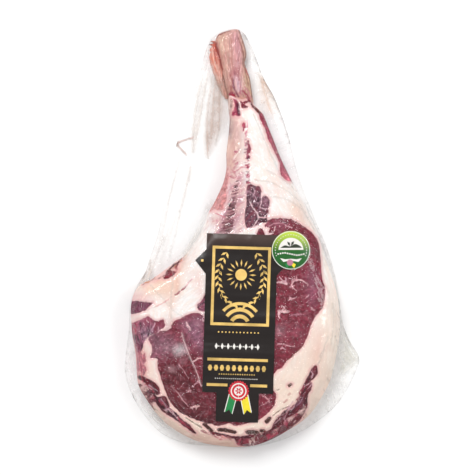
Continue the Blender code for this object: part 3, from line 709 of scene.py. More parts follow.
def ranged(tree, value, low, high, to_low=0.0, to_high=1.0, smooth=False):
    """The value moved from one range to another, and kept inside it."""
    kind = "SMOOTHSTEP" if smooth else "LINEAR"
    links = {"Value": value, 1: low, 2: high, 3: to_low, 4: to_high}
    return add_node(tree, "ShaderNodeMapRange", links, interpolation_type=kind).outputs[0]


def grain(tree, vector, size_mm, detail=3.0, roughness=0.5, distortion=0.0):
    """Noise whose lumps are about the given size."""
    links = {
        "Vector": vector, "Scale": 1 / (size_mm * MM), "Detail": detail, "Roughness": roughness,
        "Distortion": distortion,
    }
    return add_node(tree, "ShaderNodeTexNoise", links).outputs["Fac"]


def maths(tree, kind, first, second=0.0, third=0.0):
    links = {0: first, 1: second, 2: third}
    return add_node(tree, "ShaderNodeMath", links, operation=kind).outputs[0]


def blended(tree, factor, under, over, kind="MIX"):
    """The colour under, with the colour over laid on it as far as the factor says."""
    node = add_node(tree, "ShaderNodeMix", {0: factor}, data_type="RGBA", blend_type=kind)
    for socket, source in ((node.inputs[6], under), (node.inputs[7], over)):
        if isinstance(source, bpy.types.NodeSocket):
            tree.links.new(source, socket)
        else:
            socket.default_value = (*source, 1)
    return node.outputs[2]


def scaled(tree, colour, amount):
    links = {0: colour, "Scale": amount}
    return add_node(tree, "ShaderNodeVectorMath", links, operation="SCALE").outputs[0]


# Raw beef: lean that no air has reached is dark and purplish, flecked with fat, and its edge
# against the white fat is frayed by the knife. Fat is smooth, streaked along its own layers.
# Pale flecks and strokes on the lean are partly painted glints of the film, and thin lines on
# the fat partly painted shade in its creases.
beef_material, tree, out = new_material("raw beef, muscle and fat")
spot = add_node(tree, "ShaderNodeTexCoord").outputs["Object"]
fray = grain(tree, spot, 2.6, 3.5, 0.6)
bundles = grain(tree, spot, 3.2, 5.0, 0.75)
blotches = grain(tree, spot, 11.0, 3.0, 0.55)
lean_edge = maths(tree, "ADD", field(tree, "lean_mm"), maths(tree, "MULTIPLY_ADD", fray, 2.4, -1.2))
is_lean = ranged(tree, lean_edge, -0.5, 0.5, smooth=True)
lean = scaled(tree, tone(tree, "lean_tone"), ranged(tree, bundles, 0.32, 0.68, 0.6, 1.4))
lean = scaled(tree, lean, ranged(tree, blotches, 0.3, 0.7, 0.8, 1.2))
speckle = grain(tree, spot, 3.8, 4.0, 0.75, 0.6)
lean = scaled(tree, lean, ranged(tree, speckle, 0.36, 0.64, 0.6, 1.42))
mottle = maths(
    tree, "MULTIPLY", ranged(tree, grain(tree, spot, 5.0, 4.0, 0.7, 1.0), 0.52, 0.64),
    ranged(tree, field(tree, "marbling"), 0.4, 0.9, 0.2, 0.6),
)
lean = blended(tree, mottle, lean, linear("#B4808E"))
veins = add_node(
    tree, "ShaderNodeTexVoronoi", {"Vector": spot, "Scale": 1 / (2.6 * MM), "Randomness": 1.0},
    feature="DISTANCE_TO_EDGE",
).outputs["Distance"]
vein_amount = maths(tree, "MULTIPLY_ADD", ranged(tree, veins, 0.0, 0.16, 0.6, 0.0), fray, 0.93)
lean = scaled(tree, lean, vein_amount)
# Pale flecks: partly flecks of fat, more where the muscle is marbled, and partly painted glints of the film's
# micro-gloss.
fat_fleck_and_glint = grain(tree, spot, 3.2, 3.5, 0.6, 0.9)
fleck_and_glint_limit = ranged(tree, field(tree, "marbling"), 0, 1, 0.72, 0.58)
fleck_and_glint_amount = ranged(tree, maths(tree, "SUBTRACT", fat_fleck_and_glint, fleck_and_glint_limit), 0.0, 0.08, 0.0, 0.6)
lean = blended(tree, fleck_and_glint_amount, lean, linear("#D8B2B8"))

# The thin muscles near the cut's edge lie in strands along it, dark, red and pale.
place = add_node(tree, "ShaderNodeSeparateXYZ", {0: spot})


def along_edge(length_mm, across_mm, detail):
    """Noise drawn out along the edge of the cut."""
    vector = add_node(tree, "ShaderNodeCombineXYZ")
    for axis, source in enumerate(place.outputs[:2]):
        tree.links.new(maths(tree, "MULTIPLY", source, 1 / (length_mm * MM)), vector.inputs[axis])
    tree.links.new(maths(tree, "MULTIPLY", field(tree, "edge_mm"), 1 / across_mm), vector.inputs[2])
    return add_node(
        tree, "ShaderNodeTexNoise",
        {"Vector": vector.outputs[0], "Scale": 1.0, "Detail": detail, "Roughness": 0.6},
    ).outputs["Fac"]


layered = ranged(tree, field(tree, "marbling"), 0.5, 0.6)
strands = along_edge(16.0, 2.8, 4.0)
for low, high, strength, colour in (
    (0.5, 0.6, 0.6, "#700E24"), (0.62, 0.7, 0.3, "#9C5A6A"), (0.48, 0.38, 0.75, "#22060E"),
):
    amount = maths(tree, "MULTIPLY", layered, ranged(tree, strands, low, high, 0.0, strength))
    lean = blended(tree, amount, lean, linear(colour))

# The tail's muscle shows the silver skin between its bundles as a pale net.
netted = ranged(tree, field(tree, "marbling"), 0.75, 1.0)
net_lines = maths(tree, "MULTIPLY", netted, ranged(tree, veins, 0.0, 0.12, 0.42, 0.0))
lean = blended(tree, net_lines, lean, linear("#A8869A"))

# Painted glints: thin pale strokes where the film's fine wrinkles would catch the lamps.
glint_ridges = maths(tree, "ABSOLUTE", maths(tree, "SUBTRACT", grain(tree, spot, 7.0, 2.5, 0.6, 0.8), 0.5))
painted_glint_amount = maths(
    tree, "MULTIPLY", ranged(tree, glint_ridges, 0.0, 0.014, 0.55, 0.0),
    ranged(tree, grain(tree, spot, 6.0), 0.48, 0.62),
)
lean = blended(tree, painted_glint_amount, lean, linear("#D9AEB6"))

streaks = along_edge(15.0, 2.2, 4.0)
fat = blended(tree, ranged(tree, streaks, 0.45, 0.62, 0, 0.35), tone(tree, "fat_tone"), linear("#E6CBB8"))
fat = blended(tree, ranged(tree, blotches, 0.5, 0.72, 0, 0.35), fat, linear("#F2D2C8"))
# Thin lines along the fat's layers: partly fat strands, partly painted shade in the film's creases.
strands_and_crease_shade = ranged(tree, maths(tree, "ABSOLUTE", maths(tree, "SUBTRACT", streaks, 0.5)), 0.0, 0.012, 0.4, 0.0)
fat = blended(tree, strands_and_crease_shade, fat, linear("#B48B84"))
fibre_places = add_node(
    tree, "ShaderNodeMapping",
    {"Vector": spot, "Rotation": (0, 0, np.radians(RUNG_TURN)), "Scale": (7.0, 1.0, 1.0)}, vector_type="TEXTURE",
).outputs[0]
cross_lines = grain(tree, fibre_places, 2.6, 3.0, 0.6, 0.4)
cross_amount = maths(tree, "MULTIPLY", field(tree, "cross_grain"), ranged(tree, cross_lines, 0.5, 0.62, 0, 0.75))
fat = blended(tree, cross_amount, fat, linear("#C0808A"))
fat = blended(
    tree, ranged(tree, maths(tree, "ADD", lean_edge, maths(tree, "MULTIPLY", blotches, 2.0)), -2.6, 0.6, 0.0, 0.6, True),
    fat, linear("#DFA5A6"),
)
fat = scaled(tree, fat, ranged(tree, bundles, 0.3, 0.7, 0.93, 1.04))
tissue = blended(tree, is_lean, fat, lean)
thread = maths(tree, "ADD", field(tree, "line_mm"), maths(tree, "MULTIPLY_ADD", fray, 2.0, -1.0))
thread_amount = maths(
    tree, "MULTIPLY", ranged(tree, thread, -0.2, 0.4, smooth=True),
    ranged(tree, grain(tree, spot, 5.0), 0.32, 0.6, 0.35, 0.95),
)
tissue = blended(tree, thread_amount, tissue, tone(tree, "line_tone"))
height = maths(tree, "ADD", bundles, maths(tree, "MULTIPLY", streaks, 1.5))
bump = add_node(tree, "ShaderNodeBump", {"Height": height, "Distance": 0.6 * MM, "Strength": 0.6})
shader = add_node(
    tree, "ShaderNodeBsdfPrincipled",
    {"Base Color": tissue, "Roughness": 0.5, "IOR": 1.4, "Normal": bump.outputs[0],
     "Specular IOR Level": 0.12},
)
tree.links.new(shader.outputs[0], out.inputs[0])
beef.data.materials.append(beef_material)
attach(beef, "root")

# ---------------------------------------------------------------------------------------------
# The rib: the long bone that the slice was cut with, sawn across at its end and scraped clean,
# with a strip of rib membrane left along one side. The bone is pale, pink where blood shows
# through, and streaked along its length by the knife.

BONE_EDGE = (
    (-28, 214), (-25, 218.5), (-19, 221), (-12, 223), (-6, 223.5), (-2.5, 221.5), (0, 214),
    (3, 205), (4.6, 197), (3.6, 191), (2.8, 187), (5, 180), (8, 171.5), (9.6, 162), (10.8, 153),
    (12, 144), (11, 132), (6, 122), (-3, 118), (-10, 122), (-14, 132), (-15, 142), (-16, 152),
    (-18, 161), (-20, 170), (-22, 179.5), (-24, 189), (-27, 199), (-29, 208),
)
BONE_STATIONS = (118, 134, 146, 156, 180, 205, 224)
BONE_THICK = (8, 11, 15, 17.6, 18.6, 18.8, 17)
BONE_SHOULDER = (10, 10, 11, 11, 12, 11, 4)
BONE_EQUATOR = 0.5
BONE_CELL = 1.0
BONE = "#D0A394"
BONE_WASHES = (
    ("#D7B19D", 0.75, 6, ((-28, 214), (-18, 219), (-15, 195), (-13, 160), (-19, 158), (-25, 190))),
    ("#D29A9F", 0.8, 7, ((-13, 219), (-2, 220), (3, 204), (2, 188), (-3, 172), (-12, 168), (-12, 192))),
    ("#BF838B", 0.6, 5, ((-8, 217), (-2, 214), (0, 202), (-6, 197))),
    ("#A04C5C", 0.8, 4, ((-11, 180), (-6, 180), (-5, 173), (-11, 172))),
    ("#D6AEB8", 0.85, 3, ((-9, 171), (-1, 170), (0, 155), (-7, 157))),
    ("#B05A54", 0.75, 2.5, ((-28, 209), (-25.6, 208), (-20.6, 182), (-24, 182))),
    ("#A85868", 0.7, 3, ((1, 158), (6, 158), (10, 150), (2, 149))),
    ("#BC9F88", 0.8, 3, ((2, 172), (6, 172), (8, 150), (3, 150))),
    ("#D8AE90", 0.8, 2, ((-2, 216), (0.6, 214), (4.6, 198), (3.4, 188), (9, 168), (10.6, 152), (7, 152), (3, 180), (1.6, 196))),
    ("#AA746E", 0.7, 5, ((-18, 168), (-10, 168), (-8, 150), (-16, 150))),
    ("#BC7D77", 0.6, 6, ((-24, 196), (-17, 194), (-15, 170), (-20, 168))),
)
BONE_LINES = (
    ("#93332F", 2.4, ((-28.5, 208), (-26.4, 199), (-24.2, 189), (-22, 180))),
    ("#85513E", 2.8, ((-21.5, 174), (-20, 167), (-18, 159), (-16, 151))),
    ("#815343", 1.6, ((-3, 222), (0, 213), (3.2, 204), (4, 195), (2.6, 188), (4.8, 180), (8, 171), (9.6, 161), (10.8, 151))),
    ("#7E4A3C", 1.0, ((-4, 213), (-0.6, 204), (1.2, 195), (0.8, 188), (3, 179), (5.4, 169), (6.4, 158))),
    ("#B1544F", 2.6, ((4.6, 180), (6, 176.5), (7.4, 173))),
    ("#74344C", 1.6, ((-9.8, 169), (-9.2, 162), (-6.8, 156), (-4, 151))),
    ("#8E3048", 2.4, ((-14, 153), (-11.4, 155.4), (-8.6, 152.8))),
    ("#96384C", 1.8, ((0.6, 157), (4, 153.8), (7, 149))),
    ("#C07C86", 1.2, ((3, 161), (6, 156.4), (9, 150))),
    ("#A8646E", 1.1, ((-2.6, 166), (-1.6, 160), (-2.4, 154))),
    ("#AE756E", 1.2, ((-12, 214), (-11, 202), (-11.5, 190), (-9.5, 180))),
    ("#985451", 1.3, ((-12.5, 174), (-10.5, 167), (-12, 160), (-11, 153))),
    ("#A46469", 1.2, ((-4.5, 190), (-3, 182), (-5, 174), (-3, 168))),
    ("#C48B85", 1.0, ((-19, 210), (-18, 198), (-17.5, 186))),
    ("#803E35", 1.6, ((-27, 214.5), (-24, 217.5), (-19, 219.6), (-13, 221.6))),
)
STRIP_EDGE = (
    (-26, 213.5), (-28.5, 211.6), (-34.5, 211), (-31.4, 209), (-35.6, 207.4), (-32.6, 205.4),
    (-35.2, 202), (-34.4, 199), (-35.5, 195), (-35, 189),
    (-33, 182), (-30.5, 175), (-28, 168), (-25, 161), (-21.5, 154), (-17.5, 149), (-13.5, 151),
    (-15.5, 161), (-17.5, 170), (-19.5, 180), (-21.5, 189), (-24.2, 199), (-26, 207),
)
STRIP_STATIONS, STRIP_THICK = (150, 168, 190, 212), (7, 9, 13, 12)
STRIP_WASHES = (
    ("#D57154", 0.8, 4, ((-34, 206), (-30, 206), (-28, 192), (-30, 183), (-35, 189))),
    ("#B83F2B", 0.85, 3, ((-32, 209), (-27, 212), (-25, 202), (-27, 194), (-30, 199))),
    ("#9E2E30", 0.9, 2.5, ((-27, 210), (-24, 207), (-21, 196), (-19.5, 184), (-22, 182), (-25, 194))),
    ("#E8C4B4", 0.85, 3, ((-31, 186), (-27, 186), (-18, 154), (-23, 154), (-29, 172))),
)
STRIP_LINES = (
    ("#8D3222", 1.5, ((-33, 209.4), (-31, 208.6), (-28.6, 210.4), (-26.5, 212))),
    ("#AC3F27", 1.4, ((-30.5, 208), (-30, 200), (-28.5, 192), (-27, 186))),
    ("#712427", 1.6, ((-26, 208), (-24.4, 199), (-22.2, 190), (-20.6, 181))),
    ("#C45C40", 1.0, ((-33.4, 202), (-32.8, 195), (-31, 187), (-28, 178))),
    ("#F5B9A4", 0.9, ((-32.4, 204), (-31.6, 196), (-30, 188), (-27, 178))),
    ("#B8624D", 0.9, ((-29, 184), (-26, 174), (-22.4, 163), (-18.6, 154))),
)


def bone_shape(name, edge, thick, shoulders, stations, cell, equator, waviness):
    """A long closed piece with round sides, whose relief runs along it."""
    loop = smooth_loop(edge)
    rim = spaced(loop, cell)
    net, depth = hex_net(loop, cell, 0.5 * cell)
    tall = np.interp(net[:, 1], stations, thick)
    level = equator + (1 - equator) * dome(depth / np.interp(net[:, 1], stations, shoulders), 2.0)
    ridges = waviness * rough(net * (1, 0.16), 3.2, 3, 4.0) + 0.5 * rough(net, 12, 2, 6.0)
    over = tall * level + ridges * np.clip(depth / 3, 0, 1)
    under = REST_Z + (tall * equator - REST_Z) * (1 - dome(depth / 8, 2.0))
    rim_z = equator * np.interp(rim[:, 1], stations, thick)
    piece = closed_piece(
        name, np.column_stack([rim, rim_z]), np.column_stack([net, over]),
        np.column_stack([net, under]),
    )
    return piece, np.vstack([rim, net, net])


def finish_bone(piece, material, places, base, washes, lines):
    line_mm, line_tone = line_fields(places, lines)
    tint = washed(places, np.tile(linear(base), (len(places), 1)), washes)
    add_attributes(piece, tint=tint, line_mm=line_mm, line_tone=line_tone)
    piece.data.materials.append(material)
    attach(piece, "root")


def streaked_material(name, specular, roughness, depth_mm):
    """Tissue that is streaked along Y, with its tints and threads stored on its points."""
    material, tree, out = new_material(name)
    spot = add_node(tree, "ShaderNodeTexCoord").outputs["Object"]
    along = add_node(
        tree, "ShaderNodeMapping", {"Vector": spot, "Scale": (1.0, 0.14, 1.0)}
    ).outputs[0]
    scrapes = grain(tree, along, 1.5, 4.0, 0.6)
    mottle = grain(tree, spot, 4.0, 3.0, 0.6)
    colour = scaled(tree, tone(tree, "tint"), ranged(tree, scrapes, 0.3, 0.7, 0.6, 1.2))
    colour = blended(tree, ranged(tree, mottle, 0.48, 0.72, 0, 0.6), colour, linear("#A5625F"))
    thread = maths(tree, "ADD", field(tree, "line_mm"), maths(tree, "MULTIPLY_ADD", mottle, 1.8, -0.9))
    colour = blended(tree, ranged(tree, thread, -0.8, 0.5, 0, 0.85, True), colour, tone(tree, "line_tone"))
    bump = add_node(tree, "ShaderNodeBump", {"Height": scrapes, "Distance": depth_mm * MM})
    shader = add_node(
        tree, "ShaderNodeBsdfPrincipled",
        {"Base Color": colour, "Roughness": roughness, "Specular IOR Level": specular,
         "Normal": bump.outputs[0]},
    )
    tree.links.new(shader.outputs[0], out.inputs[0])
    return material


# Fresh bone: close-grained and matt, with the scrape marks of the knife along it.
bone_material = streaked_material("scraped rib bone", 0.3, 0.55, 0.5)
bone, places = bone_shape(
    "rib_bone", BONE_EDGE, BONE_THICK, BONE_SHOULDER, BONE_STATIONS, BONE_CELL, BONE_EQUATOR, 0.5,
)
finish_bone(bone, bone_material, places, BONE, BONE_WASHES, BONE_LINES)

# Rib membrane: wet, thin and stained orange by the fat's own oil.
membrane_material = streaked_material("rib membrane", 0.4, 0.4, 0.5)
strip, places = bone_shape(
    "rib_membrane", STRIP_EDGE, STRIP_THICK, (5,) * 4, STRIP_STATIONS, BONE_CELL, 0.45, 1.1,
)
finish_bone(strip, membrane_material, places, "#D58674", STRIP_WASHES, STRIP_LINES)

# ---------------------------------------------------------------------------------------------
# The bag: clear shrink film, sealed round the cut and sucked down on it. It bridges the hollows,
# lies in two plies on the table, and is drawn into long folds between the bone and the lobe.

BAG_EDGE = (
    (-4, 225), (9, 208), (23, 172), (35, 150), (49, 112), (60, 68), (75, 28), (90, -8),
    (101, -45), (107, -85), (114, -108), (125.5, -128), (123, -142), (111, -166), (97, -184),
    (71, -204), (41, -218), (7, -225), (-29, -224), (-61, -221), (-87, -210), (-106, -190),
    (-119, -168), (-126, -146), (-125, -122), (-122, -98), (-121, -72), (-115, -54),
    (-105, -38), (-99, -20), (-90, 8), (-83, 45), (-77, 80), (-70, 103), (-58, 135),
    (-47, 172), (-38, 205), (-25, 221),
)
SHEET_CELL = 2.0  # the square grid that the sheets are draped on
FILM_CELL = 1.6
FILM_GAP = 0.2
PLY_Z = 0.5  # the two plies on the table
SUCTION = 0.3  # how far the vacuum pulls a point towards the meat in each step
PLASTIC_MIRROR = 0.045  # what clear plastic reflects straight on
# Folds: height, half width, how milky the crease is, and its line. The crease's milk is grey: partly the whitened
# plastic, partly painted shade where the fold bends light away.
FOLDS = (
    (0.7, 0.6, 0.35, ((14, 61), (30, 59), (46, 51), (60, 40))),
    (0.6, 0.6, 0.3, ((26, 72), (38, 66), (50, 57), (58, 50))),
    (0.6, 0.5, 0.3, ((30, 44), (44, 42), (56, 36), (66, 28))),
    (0.5, 0.5, 0.3, ((12, 132), (20, 112), (30, 90), (40, 68))),
    (0.5, 0.5, 0.25, ((-98, -50), (-86, -62), (-74, -76), (-62, -84))),
    (0.5, 0.5, 0.25, ((-74, -32), (-74, -50), (-76, -70), (-74, -92))),
    (2.4, 1.3, 0.55, ((-36, 206), (-42, 178), (-48, 150), (-52, 122), (-53, 92))),
    (1.6, 1.0, 0.4, ((-35, 190), (-40, 162), (-45, 134), (-50, 106))),
    (2.0, 1.0, 0.5, ((-33, 180), (-34, 160), (-37, 140), (-38, 112), (-37, 86))),
    (1.2, 0.9, 0.35, ((-29, 172), (-31, 152), (-32, 130), (-34, 108))),
    (1.0, 0.8, 0.25, ((-24, 164), (-25, 140), (-25, 118), (-29, 100))),
    (1.7, 1.2, 0.4, ((-55, 78), (-60, 54), (-66, 32), (-71, 8), (-80, -25))),
    (1.2, 1.0, 0.3, ((-67, 84), (-74, 60), (-80, 36), (-85, 8), (-92, -18), (-101, -45))),
    (1.0, 0.8, 0.2, ((-60, 84), (-66, 60), (-74, 36), (-79, 12), (-86, -12))),
    (0.8, 0.5, 0.3, ((-70, 102), (-62, 105), (-53, 107.5))),
    (0.9, 0.5, 0.35, ((-70, 101.5), (-65, 95.5), (-60, 89))),
    (2.6, 1.2, 0.45, ((-33, 40), (-42, 18), (-50, 2), (-57, -10), (-63, -21))),
    (1.6, 0.9, 0.35, ((-37, 36), (-46, 14), (-55, -3), (-63, -15), (-74, -24))),
    (1.6, 1.0, 0.45, ((-84, 2), (-91, -16), (-97, -33), (-105, -46))),
    (1.4, 0.8, 0.6, ((-98.5, -24), (-99.5, -34), (-101.5, -45))),
    (1.2, 0.8, 0.5, ((-103, -36), (-108.5, -46), (-114, -57))),
    (1.2, 0.8, 0.45, ((2, 219), (10, 202), (17, 187), (25, 172))),
    (1.5, 0.7, 0.5, ((14, 178), (20, 174), (27, 165), (36, 146), (45, 125), (52, 102))),
    (1.4, 0.7, 0.55, ((17, 178), (20, 171), (23, 167), (29, 166))),
    (1.3, 1.0, 0.35, ((20, 170), (25, 152), (31, 136), (38, 116))),
    (1.2, 0.7, 0.4, ((62, 36), (70, 21), (79, 5), (86, -12))),
    (1.0, 0.7, 0.35, ((67, 36), (76, 17), (85, -3), (91, -22))),
    (1.2, 0.9, 0.35, ((93, -24), (99, -46), (104, -72), (105.5, -90))),
    (1.6, 0.9, 0.45, ((101, -80), (108, -94), (113, -108), (119, -120), (125, -129))),
    (1.6, 1.2, 0.35, ((104, -98), (111, -114), (120, -130))),
    (1.8, 1.0, 0.4, ((99, -104), (104, -124), (110, -142), (110, -160))),
    (2.6, 1.2, 0.4, ((96.5, -140), (98.5, -152), (104, -166), (103, -178))),
    (2.6, 1.1, 0.4, ((91, -150), (95, -162), (99, -175), (93, -188))),
    (2.0, 0.9, 0.5, ((87, -162), (92, -172), (91, -186))),
    (1.8, 1.0, 0.5, ((107, -136), (105, -150), (108, -166))),
    (1.4, 1.0, 0.45, ((120, -136), (112, -142), (103, -146))),
    (1.6, 1.0, 0.4, ((-119, -118), (-122, -130), (-120, -146), (-121, -160))),
    (1.2, 0.8, 0.4, ((-116, -122), (-117.5, -138), (-115.5, -152))),
    (1.8, 1.2, 0.5, ((-114, -160), (-118, -168), (-115, -178))),
    (2.0, 1.1, 0.5, ((-110, -166), (-108, -180), (-99, -190))),
    (2.4, 0.9, 0.7, ((-101, -180), (-96.5, -190), (-90, -198), (-80, -204))),
    (2.2, 0.8, 0.7, ((-98, -182), (-92, -190), (-85, -196))),
    (1.8, 0.8, 0.6, ((-94, -186), (-92, -194), (-86, -200))),
        (0.5, 0.6, 0.3, ((-64, -100), (-61, -112), (-56.5, -124), (-52, -134), (-47, -146), (-42, -160))),
    (0.7, 0.8, 0.35, ((86.5, -116), (85, -124), (80, -134))),
    (0.7, 0.7, 0.35, ((82, -126), (87, -116), (91, -104))),
    (0.8, 0.8, 0.3, ((96, -70), (97, -92), (94, -112))),
)
# Milky patches in the film: colour, strength, softness and outline.
FILM_PATCHES = (
    ("#C6AEA2", 0.55, 4, ((-30, 172), (-22, 166), (-19, 140), (-21, 118), (-28, 106), (-38, 88), (-41, 108), (-38, 135), (-33, 160))),
    ("#DCCFC6", 0.4, 5, ((-40, 172), (-36, 168), (-46, 110), (-54, 92), (-54, 120), (-46, 158))),
    ("#E3C2AC", 0.4, 6, ((16, 172), (28, 170), (33, 150), (36, 136), (26, 132), (18, 150))),
    ("#E2CDBE", 0.3, 3, ((-104, -36), (-96, -24), (-96, -38), (-104, -48), (-112, -54))),
    ("#D6CCC2", 0.35, 4, ((-50, 4), (-44, 8), (-56, -14), (-64, -24), (-62, -16))),
    ("#F2F2EE", 0.2, 6, ((98, -76), (105, -88), (108, -110), (104, -132), (98, -120), (100, -96))),
    ("#E2DED2", 0.45, 5, ((108, -104), (120, -120), (125, -132), (116, -140), (104, -144), (106, -124))),
    ("#C39C90", 0.5, 0.8, ((-72, 102.6), (-62, 106.4), (-53, 109), (-53, 107), (-62, 104), (-70, 100.6))),
    ("#CBA89C", 0.5, 0.8, ((-72, 102.6), (-66, 97.4), (-59.4, 90.6), (-61.4, 89), (-67.8, 95.6), (-73, 101.4))),
    ("#DCD0C8", 0.24, 2, ((-52, 76), (-57, 76), (-70, 34), (-80, 6), (-92, -30), (-86, -30), (-74, 6), (-62, 40))),
    ("#E0D6D0", 0.2, 2, ((-68, 76), (-73, 76), (-86, 20), (-101, -34), (-96, -34), (-82, 16))),
    # the film over the eye's pale spot: trapped juice, partly a painted reflection
    ("#F6EEEE", 0.35, 3, ((-72, -116), (-66, -113), (-60, -116), (-61, -121), (-68, -124), (-72, -121))),
)

BAG_LOOP = 0.9985 * smooth_loop(BAG_EDGE)  # inside the solid bag by a hair


def drape(low, pull, turns):
    """A sheet pulled down on heights on the grid, and stretched over their hollows."""
    sheet = low.copy()
    for _ in range(turns):
        mean = sheet.copy()
        mean[1:-1, 1:-1] = (
            sheet[:-2, 1:-1] + sheet[2:, 1:-1] + sheet[1:-1, :-2] + sheet[1:-1, 2:]
        ) / 4
        sheet = np.maximum(low, mean - pull)
    return sheet


def heights_at(points, sheet):
    """The height of a draped sheet at each point."""
    across = np.clip((points - GRID_LOW) / SHEET_CELL, 0, np.array(sheet.shape)[::-1] - 1.001)
    cell = across.astype(int)
    (u, v), (i, j) = (across - cell).T, cell.T
    near = sheet[j, i] * (1 - u) + sheet[j, i + 1] * u
    return near * (1 - v) + (sheet[j + 1, i] * (1 - u) + sheet[j + 1, i + 1] * u) * v


def tops(trees, points):
    """The top of the given pieces under each point, or 0 where there is none."""
    found = np.zeros(len(points))
    for k, (x, y) in enumerate(points):
        for tree in trees:
            hit = tree.ray_cast(Vector((x * MM, y * MM, 0.1)), Vector((0, 0, -1)))[0]
            if hit:
                found[k] = max(found[k], hit.z / MM)
    return found


def tree_of(piece):
    mesh = piece.data
    return BVHTree.FromPolygons([v.co for v in mesh.vertices], [tuple(p.vertices) for p in mesh.polygons])


GRID_LOW = BAG_LOOP.min(0) - 2 * SHEET_CELL
grid_high = BAG_LOOP.max(0) + 2 * SHEET_CELL
columns = np.arange(GRID_LOW[0], grid_high[0], SHEET_CELL)
rows = np.arange(GRID_LOW[1], grid_high[1], SHEET_CELL)
grid_x, grid_y = np.meshgrid(columns, rows)
grid_places = np.column_stack([grid_x.ravel(), grid_y.ravel()])
inner_trees = [tree_of(piece) for piece in (beef, bone, strip)]
contents = tops(inner_trees, grid_places)
low = np.maximum(contents + FILM_GAP, PLY_Z).reshape(grid_x.shape)
film_grid = drape(low, SUCTION, 260)

bag_rim = spaced(BAG_LOOP, FILM_CELL)
crests = [wobbled(smooth_path(path), 300 + k, 0.6) for k, (_, _, _, path) in enumerate(FOLDS)]
crest_points = np.vstack([spaced(path, 1.5, closed=False) for path in crests])
crest_points = crest_points[distance(crest_points, BAG_LOOP) > 1.0]
net, _ = hex_net(BAG_LOOP, FILM_CELL, 0.8)
gap = np.full(len(net), FAR)
for path in crests:
    gap = np.minimum(gap, distance(net, path, closed=False, reach=2))
sheet_net = np.vstack([crest_points, net[gap > 0.8]])
under_net, _ = hex_net(BAG_LOOP, 4.0, 2.0)

places = np.vstack([bag_rim, sheet_net, under_net])
into_meat = distance(places, MEAT_LOOP, reach=40)
off_meat = np.clip(-into_meat / 6, 0, 1)
into_bone = distance(places, smooth_loop(BONE_EDGE), reach=40)
off_bone = np.clip(-into_bone / 6, 0, 1)
skirt = np.minimum(off_meat, off_bone)
lift = np.zeros(len(places))
milky = np.zeros(len(places))
for (height, half_width, milk, _), path in zip(FOLDS, crests):
    away = distance(places, path, closed=False, reach=12)
    end_fade = 1.0
    lift = np.maximum(lift, height * np.exp(-(away / (1.3 * half_width)) ** 1.3) * end_fade)
    milky = np.maximum(milky, 0.9 * milk * np.exp(-(away / (0.55 * half_width)) ** 2))
around = spaced(MEAT_LOOP, 2.0)
nearest = np.empty(len(places))
for start in range(0, len(places), 4000):
    part = places[start:start + 4000]
    nearest[start:start + 4000] = ((part[:, None] - around[None]) ** 2).sum(axis=2).argmin(axis=1)
pleat_places = np.column_stack([nearest * 2.0, 0.15 * np.hypot(*places.T)])
pleats = 1 - np.abs(rough(pleat_places, 7.0, 3, 11.0)) * 2.2
in_web = distance(places, smooth_loop(((-20, 160), (-16, 60), (-60, -18), (-120, -50), (-100, 20), (-60, 150))), reach=20)
pleat_height = 1.4 * skirt * np.clip(1 - (in_web + 6) / 12, 0, 1)
lift += np.maximum(pleats, 0) * pleat_height
milky = np.maximum(milky, 0.22 * np.clip((pleats - 0.75) / 0.25, 0, 1) * np.clip(pleat_height, 0, 1))
rim_away = distance(places, BAG_LOOP, reach=20)
milky = np.maximum(milky, 0.05 * np.exp(-rim_away / 0.7))
# Whiter milk in the skirts: partly the film's own haze, partly painted light that lifts the meat's shadow on the table
# below.
skirt_haze_and_lift = skirt * np.clip(1 - (in_web + 6) / 12, 0, 1)
# the milk is grey, partly painted shade of the folds; in the skirts it turns white
film_tone = linear("#DCD7D2") + skirt_haze_and_lift[:, None] * (linear("#FFFDFA") - linear("#DCD7D2"))
patch = 0.08 * skirt_haze_and_lift
for colour, strength, soft, outline in FILM_PATCHES:
    depth = distance(places, smooth_loop(outline, 4), reach=soft + 1)
    amount = strength * np.clip(0.5 + depth / (2 * soft), 0, 1)
    film_tone += (linear(colour) - film_tone) * np.clip(2.5 * amount, 0, 1)[:, None]
    patch = np.maximum(patch, amount)
edge_wave = 0.35 + 1.3 * np.abs(rough(places, 13.0, 2, 21.0))

sheet = heights_at(places, film_grid) + lift * np.where(skirt > 0, 0.35 + 0.65 * skirt, 0.35)
rim_z = edge_wave[:len(bag_rim)]
fade = np.exp(-rim_away / 4)
sheet = sheet * (1 - fade) + (edge_wave + 0.3) * fade
top = slice(len(bag_rim), len(bag_rim) + len(sheet_net))
sheet_z = np.maximum(sheet[top], tops(inner_trees, sheet_net) + FILM_GAP)
under = slice(top.stop, len(places))
under_z = 0.12 + (edge_wave[under] - 0.12) * np.exp(-rim_away[under] / 3)
film = closed_piece(
    "vacuum_film", np.column_stack([bag_rim, rim_z]), np.column_stack([sheet_net, sheet_z]),
    np.column_stack([under_net, under_z]),
)
milky[under] = 0
patch[under] = 0
shine = 1 - 0.85 * np.exp(-rim_away / 1.5)  # the seal is flat, and doesn't stand out on the table
shine *= (1 - 0.7 * skirt) * (1 - 0.6 * np.exp(-(into_meat / 9) ** 2))
shine *= 1 - 0.5 * np.clip(into_bone / 3, 0, 1)
shine[under] = 0.05
add_attributes(film, milky=milky, patch=patch, film_tone=film_tone, shine=shine)

